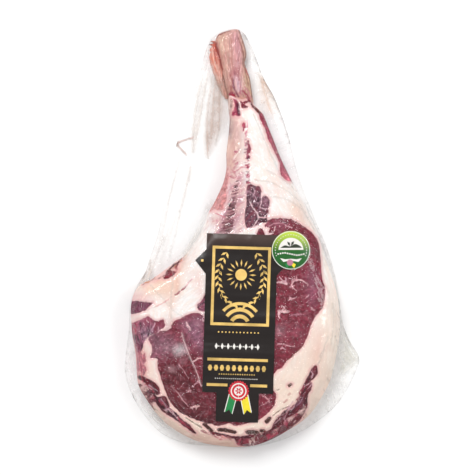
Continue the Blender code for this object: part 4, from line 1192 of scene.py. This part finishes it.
# Shrink film: glass-clear and glossy, with fine wrinkles that glint, milky where creased; the grey of its creases is
# partly painted shade, and its whiter milk in the skirts partly painted light.
film_material, tree, out = new_material("clear shrink film")
spot = add_node(tree, "ShaderNodeTexCoord").outputs["Object"]
wrinkles = grain(tree, spot, 7.0, 2.0, 0.5, 1.0)
off_crest = maths(tree, "ABSOLUTE", maths(tree, "SUBTRACT", wrinkles, 0.5))
crests = ranged(tree, off_crest, 0.0, 0.05, 1.0, 0.0, smooth=True)
bump = add_node(
    tree, "ShaderNodeBump", {"Height": crests, "Distance": 0.4 * MM, "Strength": 1.0}
).outputs[0]
facing = add_node(tree, "ShaderNodeLayerWeight", {"Blend": 0.5}).outputs["Facing"]
mirror = maths(tree, "MULTIPLY_ADD", maths(tree, "POWER", facing, 5.0), 1 - PLASTIC_MIRROR, PLASTIC_MIRROR)
gloss = add_node(
    tree, "ShaderNodeBsdfGlossy", {"Color": (1, 1, 1, 1), "Roughness": 0.07, "Normal": bump}
)
clear = add_node(tree, "ShaderNodeBsdfTransparent", {"Color": (1, 1, 1, 1)})
sheet_shader = add_node(
    tree, "ShaderNodeMixShader",
    {0: maths(tree, "MULTIPLY", mirror, field(tree, "shine")), 1: clear.outputs[0], 2: gloss.outputs[0]},
)
uneven = ranged(tree, grain(tree, spot, 9.0, 3.0, 0.5), 0.35, 0.65, 0.7, 1.0)
cloud = maths(tree, "MULTIPLY", maths(tree, "ADD", field(tree, "milky"), field(tree, "patch")), uneven)
milk = add_node(tree, "ShaderNodeBsdfDiffuse", {"Color": tone(tree, "film_tone"), "Normal": bump})
film_shader = add_node(
    tree, "ShaderNodeMixShader",
    {0: ranged(tree, cloud, 0, 1, 0, 0.85), 1: sheet_shader.outputs[0], 2: milk.outputs[0]},
)
tree.links.new(film_shader.outputs[0], out.inputs[0])
film.data.materials.append(film_material)
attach(film, "root")
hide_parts("vacuum_bag")

# ---------------------------------------------------------------------------------------------
# The front label: a card die cut with an ear on each side and a tab below, stuck on the bag, so
# that it takes up the film's soft waves. Its places are measured across and down from its top.

LABEL_TOP = (0.0, 4.0)
LABEL_TURN = np.radians(-1.7)
LABEL_EDGE = (
    (-37.5, 0), (37.5, 0), (37.5, 17), (49, 29), (37.5, 43), (37.5, 168), (22.5, 168),
    (22.5, 199), (-22.5, 199), (-22.5, 168), (-37.5, 168), (-37.5, 43), (-49, 29), (-37.5, 17),
)
LABEL_THICK, LABEL_CELL = 0.35, 1.7
LABEL_WAVES = ((13, 0.45), (31, 0.7))  # length and height of its waves
CREASES = ((66, 0.5, 4), (88, 0.7, 5), (111, -1.1, 5), (127, 0.8, 4), (149, -0.8, 6), (183, 0.7, 6))  # down, height, width
LABEL_PULL, LABEL_LIFT = 0.004, 0.45  # it is stiffer than the film, and rides over its hollows
CURL, CURL_REACH = 1.2, 9.0  # the lower left corner has come unstuck


def on_label(across_down):
    """Places on the label, from across and down to the part's X and Y."""
    across, down = np.asarray(across_down, float).T
    along, lean = np.cos(LABEL_TURN), np.sin(LABEL_TURN)
    return np.column_stack([
        LABEL_TOP[0] + across * along + down * lean, LABEL_TOP[1] + across * lean - down * along,
    ])


def label_places(points):
    """Places on the label, from X and Y back to across and down."""
    x, y = (points - LABEL_TOP).T
    along, lean = np.cos(LABEL_TURN), np.sin(LABEL_TURN)
    return np.column_stack([x * along + y * lean, x * lean - y * along])


def stepped(outline, cell):
    """The outline's corners with points between them, anticlockwise."""
    corners = np.asarray(outline, float)
    ahead = np.roll(corners, -1, axis=0)
    if (corners[:, 0] * ahead[:, 1] - corners[:, 1] * ahead[:, 0]).sum() < 0:
        corners = corners[::-1]
        ahead = np.roll(corners, -1, axis=0)
    runs = []
    for start, end in zip(corners, ahead):
        count = max(1, int(np.ceil(np.hypot(*(end - start)) / cell)))
        runs.append(start + (end - start) * (np.arange(count) / count)[:, None])
    return np.vstack(runs)


def plates(outlines, surface, under, over, cell):
    """Points and faces of thin closed plates of the given outlines, laid on a draped sheet."""
    points, faces, first = [], [], 0
    for outline in outlines:
        rim = stepped(outline, cell)
        inner, _ = hex_net(rim, cell, 0.4 * cell, reach=cell)
        flat = np.vstack([rim, inner.reshape(-1, 2)])
        level = heights_at(flat, surface)
        count = len(flat)
        points += [np.column_stack([flat, level + over]), np.column_stack([flat, level + under])]
        for face in net_over(rim, inner.reshape(-1, 2)):
            faces.append(tuple(first + corner for corner in face))
            faces.append(tuple(first + count + corner for corner in reversed(face)))
        for here in range(len(rim)):
            after = (here + 1) % len(rim)
            faces.append((
                first + count + here, first + count + after, first + after, first + here,
            ))
        first += 2 * count
    return np.vstack(points), faces


def finish_print(piece, material):
    piece.data.materials.append(material)
    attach(piece, "root")


grid_label = label_places(grid_places)
card = on_label(LABEL_EDGE)
wave_places = grid_label * (0.12, 1.0)
waves = sum(height * rough(wave_places, length, 2, length) for length, height in LABEL_WAVES)
for down, height, width in CREASES:
    waves += height * np.exp(-((grid_label[:, 1] - down) / width) ** 2)
from_corner = np.hypot(*(grid_label - (-37.5, 168)).T)
waves += CURL * np.exp(-(from_corner / CURL_REACH) ** 2)
waves = LABEL_LIFT + np.maximum(waves, -LABEL_LIFT)
label_grid = drape(film_grid + 0.1, LABEL_PULL, 150) + waves.reshape(grid_x.shape)
points, faces = plates([card], label_grid, 0.0, LABEL_THICK, LABEL_CELL)
label = make_piece("label_card", points, faces)
label.data.set_sharp_from_angle(angle=np.radians(50))

# Coated card printed black: a satin black, painted brown towards its top as a sheen of the lamps on it.
label_material, tree, out = new_material("black printed card")
spot = add_node(tree, "ShaderNodeTexCoord").outputs["Object"]
place = add_node(tree, "ShaderNodeSeparateXYZ", {0: spot}).outputs[1]
# painted sheen: the colour turns brown towards the label's top, where the lamps' sheen lies
sheen_level = maths(tree, "ADD", place, maths(tree, "MULTIPLY", grain(tree, spot, 40.0), 30 * MM))
painted_top_sheen = ranged(tree, sheen_level, -2 * MM, 18 * MM, 0.0, 0.8, True)
fibres = grain(tree, spot, 1.2, 3.0, 0.6)
black = blended(tree, painted_top_sheen, linear("#19110F"), linear("#4A3833"))
black = scaled(tree, black, ranged(tree, fibres, 0.3, 0.7, 0.88, 1.12))
bump = add_node(tree, "ShaderNodeBump", {"Height": fibres, "Distance": 0.1 * MM})
shader = add_node(
    tree, "ShaderNodeBsdfPrincipled",
    {"Base Color": black, "Roughness": 0.3, "Specular IOR Level": 0.45, "Normal": bump.outputs[0]},
)
tree.links.new(shader.outputs[0], out.inputs[0])
finish_print(label, label_material)
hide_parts("front_label")

# ---------------------------------------------------------------------------------------------
# The label's print: a gold sun over furrows between two branches, rows of small marks, and a
# round seal on two ribbons. The ink is a skin on the card. Marks in rows or along a curve are
# set by one tree of Geometry Nodes.

INK = 0.09  # how far the ink stands above the card
FRAME_LEFT, FRAME_RIGHT, FRAME_HEAD, FRAME_FOOT, FRAME_LINE = -31.0, 31.0, 13.0, 97.0, 3.0
SUN = (0.0, 43.0)
SEAL, SEAL_RADIUS = (1.0, 166.0), 10.0


def arc(centre, radius, start, end, count=24):
    """Points on an arc from one angle to another, in degrees."""
    angles = np.radians(np.linspace(start, end, count))
    return np.asarray(centre) + radius * np.column_stack([np.cos(angles), np.sin(angles)])


def ribbon(centre, radius, width, start, end):
    """The outline of a curved band."""
    outer = arc(centre, radius + width / 2, start, end)
    return np.vstack([outer, arc(centre, radius - width / 2, end, start)])


def bar(left, right, down, width):
    return [(left, down - width / 2), (right, down - width / 2), (right, down + width / 2), (left, down + width / 2)]


marks_tree = bpy.data.node_groups.new("marks along a path", "GeometryNodeTree")
for name, kind in {
    "Path": "NodeSocketGeometry", "Count": "NodeSocketInt", "Length": "NodeSocketFloat",
    "Width": "NodeSocketFloat", "Thickness": "NodeSocketFloat", "Tilt": "NodeSocketFloat",
    "Sides": "NodeSocketInt", "Ink": "NodeSocketMaterial",
}.items():
    marks_tree.interface.new_socket(name=name, in_out="INPUT", socket_type=kind)
marks_tree.interface.new_socket(name="Marks", in_out="OUTPUT", socket_type="NodeSocketGeometry")
given = add_node(marks_tree, "NodeGroupInput").outputs
route = add_node(marks_tree, "GeometryNodeMeshToCurve", {"Mesh": given["Path"]}).outputs[0]
even = add_node(
    marks_tree, "GeometryNodeResampleCurve", {"Curve": route, "Count": given["Count"]},
).outputs[0]
heading = add_node(
    marks_tree, "FunctionNodeAlignRotationToVector",
    {"Vector": add_node(marks_tree, "GeometryNodeInputTangent").outputs[0]}, axis="X",
).outputs[0]
blank = add_node(
    marks_tree, "GeometryNodeMeshCylinder",
    {"Vertices": given["Sides"], "Radius": 0.5, "Depth": 1.0},
).outputs["Mesh"]
size = add_node(
    marks_tree, "ShaderNodeCombineXYZ",
    {0: given["Length"], 1: given["Width"], 2: given["Thickness"]},
).outputs[0]
sized = add_node(marks_tree, "GeometryNodeTransform", {"Geometry": blank, "Scale": size}).outputs[0]
tilt = add_node(marks_tree, "ShaderNodeCombineXYZ", {2: given["Tilt"]}).outputs[0]
mark = add_node(
    marks_tree, "GeometryNodeTransform", {"Geometry": sized, "Rotation": tilt},
).outputs[0]
placed = add_node(
    marks_tree, "GeometryNodeInstanceOnPoints",
    {"Points": even, "Instance": mark, "Rotation": heading},
).outputs[0]
solid = add_node(marks_tree, "GeometryNodeRealizeInstances", {0: placed}).outputs[0]
inked = add_node(
    marks_tree, "GeometryNodeSetMaterial", {"Geometry": solid, "Material": given["Ink"]},
).outputs[0]
add_node(marks_tree, "NodeGroupOutput", {0: inked})


def marks_along(path, surface, ink, count, length, width, tilt=0.0, sides=4, closed=False):
    """Points and faces of flat marks spread evenly along a path, laid on a draped sheet."""
    path = np.asarray(path, float)
    edges = [(k, k + 1) for k in range(len(path) - 1)] + ([(len(path) - 1, 0)] if closed else [])
    line = bpy.data.meshes.new("path")
    line.from_pydata(np.column_stack([path, np.zeros(len(path))]).tolist(), edges, [])
    holder = bpy.data.objects.new("path", line)
    bpy.context.scene.collection.objects.link(holder)
    maker = holder.modifiers.new("marks", "NODES")
    maker.node_group = marks_tree
    sizes = {
        "Count": count, "Length": length, "Width": width, "Thickness": 2 * INK,
        "Tilt": np.radians(tilt), "Sides": sides, "Ink": ink,
    }
    for item in marks_tree.interface.items_tree:
        if item.in_out == "INPUT" and item.name in sizes:
            maker[item.identifier] = sizes[item.name]
    shown = holder.evaluated_get(bpy.context.evaluated_depsgraph_get())
    made = bpy.data.meshes.new_from_object(shown)
    points = np.array([vertex.co for vertex in made.vertices])
    points[:, 2] += heights_at(points[:, :2], surface)
    faces = [tuple(face.vertices) for face in made.polygons]
    bpy.data.objects.remove(holder)
    return points, faces


def print_piece(name, parts, material):
    """One piece of all the shapes that are printed in one ink."""
    points, faces, first = [], [], 0
    for some_points, some_faces in parts:
        points.append(some_points)
        faces += [tuple(first + corner for corner in face) for face in some_faces]
        first += len(some_points)
    piece = make_piece(name, np.vstack(points), faces)
    piece.data.set_sharp_from_angle(angle=np.radians(50))
    finish_print(piece, material)


def ink_material(name, hex_colour, metallic, roughness, spread, size_mm):
    """Printing ink, with the slight unevenness of its lay, and for the gold a painted sheen in broad paler and darker
    patches.
    """
    material, tree, out = new_material(name)
    spot = add_node(tree, "ShaderNodeTexCoord").outputs["Object"]
    # unevenness of the lay; on the gold, with its wide spread, a painted sheen
    lay_and_sheen = grain(tree, spot, size_mm, 3.0, 0.6)
    colour = scaled(tree, add_node(
        tree, "ShaderNodeRGB").outputs[0], ranged(tree, lay_and_sheen, 0.3, 0.7, 1 - spread, 1 + spread))
    tree.nodes["RGB"].outputs[0].default_value = (*linear(hex_colour), 1)
    shader = add_node(
        tree, "ShaderNodeBsdfPrincipled",
        {"Base Color": colour, "Metallic": metallic, "Roughness": roughness},
    )
    tree.links.new(shader.outputs[0], out.inputs[0])
    return material


# Gold foil ink: warm and metallic, its colour painted paler and darker in broad patches as sheen.
gold_ink = ink_material("gold foil print", "#E6C070", 0.25, 0.34, 0.34, 22.0)
# White ink: flat white, a little see-through, so slightly grey on the black.
white_ink = ink_material("white print", "#E4E0DA", 0.0, 0.5, 0.05, 6.0)
# Red ink of the seal: a flat strong red.
red_ink = ink_material("red print", "#C41E30", 0.0, 0.45, 0.08, 6.0)

card_top = label_grid + LABEL_THICK
left, right, head, foot, line = FRAME_LEFT, FRAME_RIGHT, FRAME_HEAD, FRAME_FOOT, FRAME_LINE
gold_shapes = [
    [(left, head), (right, head), (right - line, head + line), (left + line, head + line)],
    [(right, head), (right, foot), (right - line, foot - line), (right - line, head + line)],
    [(right, foot), (left, foot), (left + line, foot - line), (right - line, foot - line)],
    [(left, foot), (left, head), (left + line, head + line), (left + line, foot - line)],
    arc(SUN, 6.2, 0, 345), bar(-33, 31, 133, 3.0), bar(-33, -11, 160, 3.0), bar(13, 31, 160, 3.0),
]
for radius, width, spread in ((9.5, 4.0, 62), (16.5, 3.6, 56), (23.0, 3.2, 50)):
    gold_shapes.append(ribbon((0, 96.5), radius, width, 270 - spread, 270 + spread))
gold_parts = [plates([on_label(shape) for shape in gold_shapes], card_top, -INK, INK, 2.4)]


def gold_marks(path, count, length, width, tilt=0.0, sides=4, closed=False):
    gold_parts.append(marks_along(
        on_label(path), card_top, gold_ink, count, length, width, tilt, sides, closed,
    ))


gold_marks(arc(SUN, 12.6, 0, 345), 16, 1.9, 7.4, closed=True)
for side in (-1, 1):
    branch = smooth_path([(side * 2, 78), (side * 15, 70), (side * 23, 56), (side * 23.5, 38), (side * 17, 22)])
    for lean in (-38, 38):
        shifted = branch + (1.9 * np.sign(lean) * side, -0.8 * np.sign(lean))
        gold_marks(shifted, 11, 7.0, 2.6, side * lean)
    gold_marks([(side * 41.5, 28.9), (side * 41.6, 29)], 2, 3.4, 3.4)
gold_marks([(-22, 104), (20, 104)], 12, 1.7, 1.7, sides=10)
gold_marks([(-30, 142), (27, 142)], 10, 4.6, 7.0, sides=6)
gold_marks([(-20, 148.6), (17, 148.6)], 16, 1.4, 1.4, sides=8)
print_piece("gold_print", gold_parts, gold_ink)


def ribbon_tail(turn, left, right):
    """A ribbon's tail with a V cut in its end, hanging from the seal."""
    tail = np.array([(left, 4), (right, 4), (right, 25.5), ((left + right) / 2, 21.5), (left, 25.5)], float)
    cos, sin = np.cos(np.radians(turn)), np.sin(np.radians(turn))
    return np.array(SEAL) + tail @ np.array([(cos, sin), (-sin, cos)])


white_parts = [
    marks_along(on_label([(-24, 119), (20, 119)]), card_top, white_ink, 8, 3.4, 6.6, sides=4),
    marks_along(on_label([(-21.3, 119), (17.3, 119)]), card_top, white_ink, 7, 1.4, 1.4, sides=8),
    marks_along(on_label([(-24, 153.2), (20, 153.2)]), card_top, white_ink, 22, 1.1, 1.1, sides=8),
    plates([on_label(ribbon_tail(13, -9.3, -0.1)), on_label(ribbon_tail(-13, 0.1, 9.3))],
           card_top, -INK, 0.7 * INK, 2.4),
    plates([on_label(arc(SEAL, 8.4, 0, 345))], card_top, -INK, 2.4 * INK, 2.4),
]
print_piece("white_print", white_parts, white_ink)
red_parts = [
    plates([on_label(arc(SEAL, SEAL_RADIUS, 0, 345, 30))], card_top, -INK, 2 * INK, 2.4),
    plates([on_label(ribbon(SEAL, 6.0, 2.2, -90, 88)), on_label(ribbon(SEAL, 6.0, 2.2, 92, 268))],
           card_top, -INK, 3 * INK, 2.4),
]
petals = marks_along(on_label(arc(SEAL, 2.2, 0, 300, 6)), card_top, red_ink, 6, 1.6, 3.2, sides=10, closed=True)
petals[0][:, 2] += 2.4 * INK
scallops = marks_along(on_label(arc(SEAL, SEAL_RADIUS, 0, 345)), card_top, red_ink, 22, 2.2, 2.2, sides=10, closed=True)
scallops[0][:, 2] += INK
print_piece("red_print", [*red_parts, petals, scallops], red_ink)

# ---------------------------------------------------------------------------------------------
# The round sticker: paper printed green, half on the label and half on the film, so it bends
# over the label's edge. Its print and the seal's ribbons share the same inks.

STICKER, STICKER_RADIUS = (51.5, -13.0), 20.5
STICKER_THICK = 0.3
over_card = distance(grid_places, card, reach=10) > 0.5
stack = np.where(over_card, (card_top + 0.12).ravel(), film_grid.ravel() + 0.15)
sticker_grid = drape(stack.reshape(grid_x.shape), 0.002, 60)
sticker_top = sticker_grid + STICKER_THICK
points, faces = plates([arc(STICKER, STICKER_RADIUS, 0, 354, 60)], sticker_grid, 0.0, STICKER_THICK, 1.7)
sticker = make_piece("round_sticker_paper", points, faces)
sticker.data.set_sharp_from_angle(angle=np.radians(50))

# Glossy sticker paper: lime at its top, deepening to dark green at its foot.
sticker_material, tree, out = new_material("green sticker paper")
spot = add_node(tree, "ShaderNodeTexCoord").outputs["Object"]
place = add_node(tree, "ShaderNodeSeparateXYZ", {0: spot}).outputs[1]
fall = ranged(tree, place, (STICKER[1] - 1) * MM, (STICKER[1] + 19) * MM)
green = blended(tree, fall, linear("#1B5C20"), linear("#BCD444"))
green = scaled(tree, green, ranged(tree, grain(tree, spot, 1.5, 3.0), 0.3, 0.7, 0.92, 1.08))
shader = add_node(
    tree, "ShaderNodeBsdfPrincipled", {"Base Color": green, "Roughness": 0.3},
)
tree.links.new(shader.outputs[0], out.inputs[0])
finish_print(sticker, sticker_material)
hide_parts("round_sticker")


def at_sticker(points):
    return np.array(STICKER) + np.asarray(points, float)


# Its white: a rim, a window above the band, a wave of dots in the band, and a small scroll.
half_window = np.vstack([arc(STICKER, 13.2, 2, 178, 30), at_sticker([(-13, 0.6)]), at_sticker([(13, 0.6)])])[:-2]
white_parts = [
    plates([ribbon(STICKER, 19.9, 0.7, -90, 89.9), ribbon(STICKER, 19.9, 0.7, 90, 269.9)],
           sticker_top, -INK, INK, 1.7),
    plates([half_window], sticker_top, -INK, INK, 1.7),
    plates([at_sticker([(-11.5, -8.4), (-6, -9.6), (0, -9.0), (6, -9.6), (11.5, -8.4), (8, -12.4),
                        (3.4, -11.4), (-3.4, -11.4), (-8, -12.4)])], sticker_top, -INK, INK, 1.7),
    marks_along(arc(STICKER, 16.6, 200, -20), sticker_top, white_ink, 23, 1.5, 1.1, sides=4),
    marks_along(at_sticker([(-13.5, -4), (-7, -2.6), (0, -4), (7, -5.4), (13.5, -4)]), sticker_top,
                white_ink, 12, 1.9, 1.9, sides=8),
]
print_piece("sticker_white", white_parts, white_ink)


def coloured_parts(name, colour, shapes, marks=()):
    """A flat colour of the sticker's or the seal's print."""
    material = ink_material(name.replace("_", " "), colour, 0.0, 0.45, 0.08, 5.0)
    parts = [plates([outline], surface, -INK, over, 1.7) for outline, surface, over in shapes]
    print_piece(name, parts, material)


hill = np.vstack([at_sticker(smooth_path([(-11.6, 2.4), (-6.5, 5.2), (-1, 4.2), (4.5, 6.6), (9.5, 4.6), (11.8, 2.6)]))])
leaf = [(0, 4.6), (2.6, 6.4), (3.4, 9.6), (0.6, 8.4)]
coloured_parts("dark_green_print", "#26301E", [
    (hill, sticker_top, 2 * INK),
    (at_sticker(leaf), sticker_top, 2.5 * INK),
    (at_sticker([(-x - 0.6, y - 0.4) for x, y in leaf]), sticker_top, 2.5 * INK),
])
coloured_parts("green_print", "#128040", [
    (on_label(ribbon_tail(13, -8.4, -0.9)), card_top, 1.4 * INK),
    (at_sticker([(-6.2, -14.5), (-3.6, -13.4), (-1.6, -15.8), (-4.4, -19)]), sticker_top, 1.6 * INK),
])
coloured_parts("yellow_print", "#E8D42A", [
    (on_label(ribbon_tail(-13, 0.9, 8.4)), card_top, 1.4 * INK),
    (at_sticker([(0.6, -15.6), (2.6, -13.4), (5.2, -15), (3.4, -19)]), sticker_top, 1.6 * INK),
])
coloured_parts("violet_print", "#B9788E", [
    (arc(at_sticker([(-1, -13)])[0], 3.3, 0, 340, 18), sticker_top, 2.4 * INK),
])

# ---------------------------------------------------------------------------------------------
# The table and the light: a white table top under large soft lamps, mostly from the bone's end.

FLOOR_REACH = 3.0
floor_mesh = bpy.data.meshes.new("table_top")
floor_mesh.from_pydata(
    [(x * FLOOR_REACH, y * FLOOR_REACH, 0) for x, y in ((-1, -1), (1, -1), (1, 1), (-1, 1))], [],
    [(0, 1, 2, 3)],
)
floor = bpy.data.objects.new("table_top", floor_mesh)
bpy.context.scene.collection.objects.link(floor)
floor_material, tree, out = new_material("white table laminate")
shader = add_node(
    tree, "ShaderNodeBsdfPrincipled",
    {"Base Color": (0.9, 0.9, 0.9, 1), "Roughness": 0.7, "Specular IOR Level": 0.2},
)
tree.links.new(shader.outputs[0], out.inputs[0])
floor_mesh.materials.append(floor_material)

LAMPS = {
    "window_end": ((-0.5, 1.24, 1.8), 0.9, 27.0),
    "window_left": ((-1.4, 0.3, 1.8), 0.9, 9.0),
    "window_right": ((1.5, 0.3, 1.7), 0.9, 12.0),
    "window_near": ((0.2, -1.6, 1.6), 0.9, 4.0),
}
for name, (place, size, power) in LAMPS.items():
    data = bpy.data.lights.new(name, "AREA")
    data.shape, data.size, data.energy = "SQUARE", size, power
    lamp = bpy.data.objects.new(name, data)
    lamp.location = place
    lamp.rotation_euler = (-Vector(place)).to_track_quat("-Z", "Y").to_euler()
    bpy.context.scene.collection.objects.link(lamp)

world = bpy.data.worlds.new("white studio")
world.use_nodes = True
tree = world.node_tree
tree.nodes.clear()
sky = add_node(tree, "ShaderNodeBackground", {"Color": (1, 1, 1, 1), "Strength": 0.5})
tree.links.new(sky.outputs[0], tree.nodes.new("ShaderNodeOutputWorld").inputs[0])
bpy.context.scene.world = world
bpy.context.scene.view_settings.view_transform = "Standard"

VIEW_CENTRE, VIEW_WIDTH, VIEW_LEVEL = (-0.0051, 0.0005), 0.5065, 0.02
camera_data = bpy.data.cameras.new("overhead")
camera_data.lens = 180
camera = bpy.data.objects.new("overhead", camera_data)
height = VIEW_LEVEL + VIEW_WIDTH * camera_data.lens / camera_data.sensor_width
camera.location = (*VIEW_CENTRE, height)
bpy.context.scene.collection.objects.link(camera)
bpy.context.scene.camera = camera
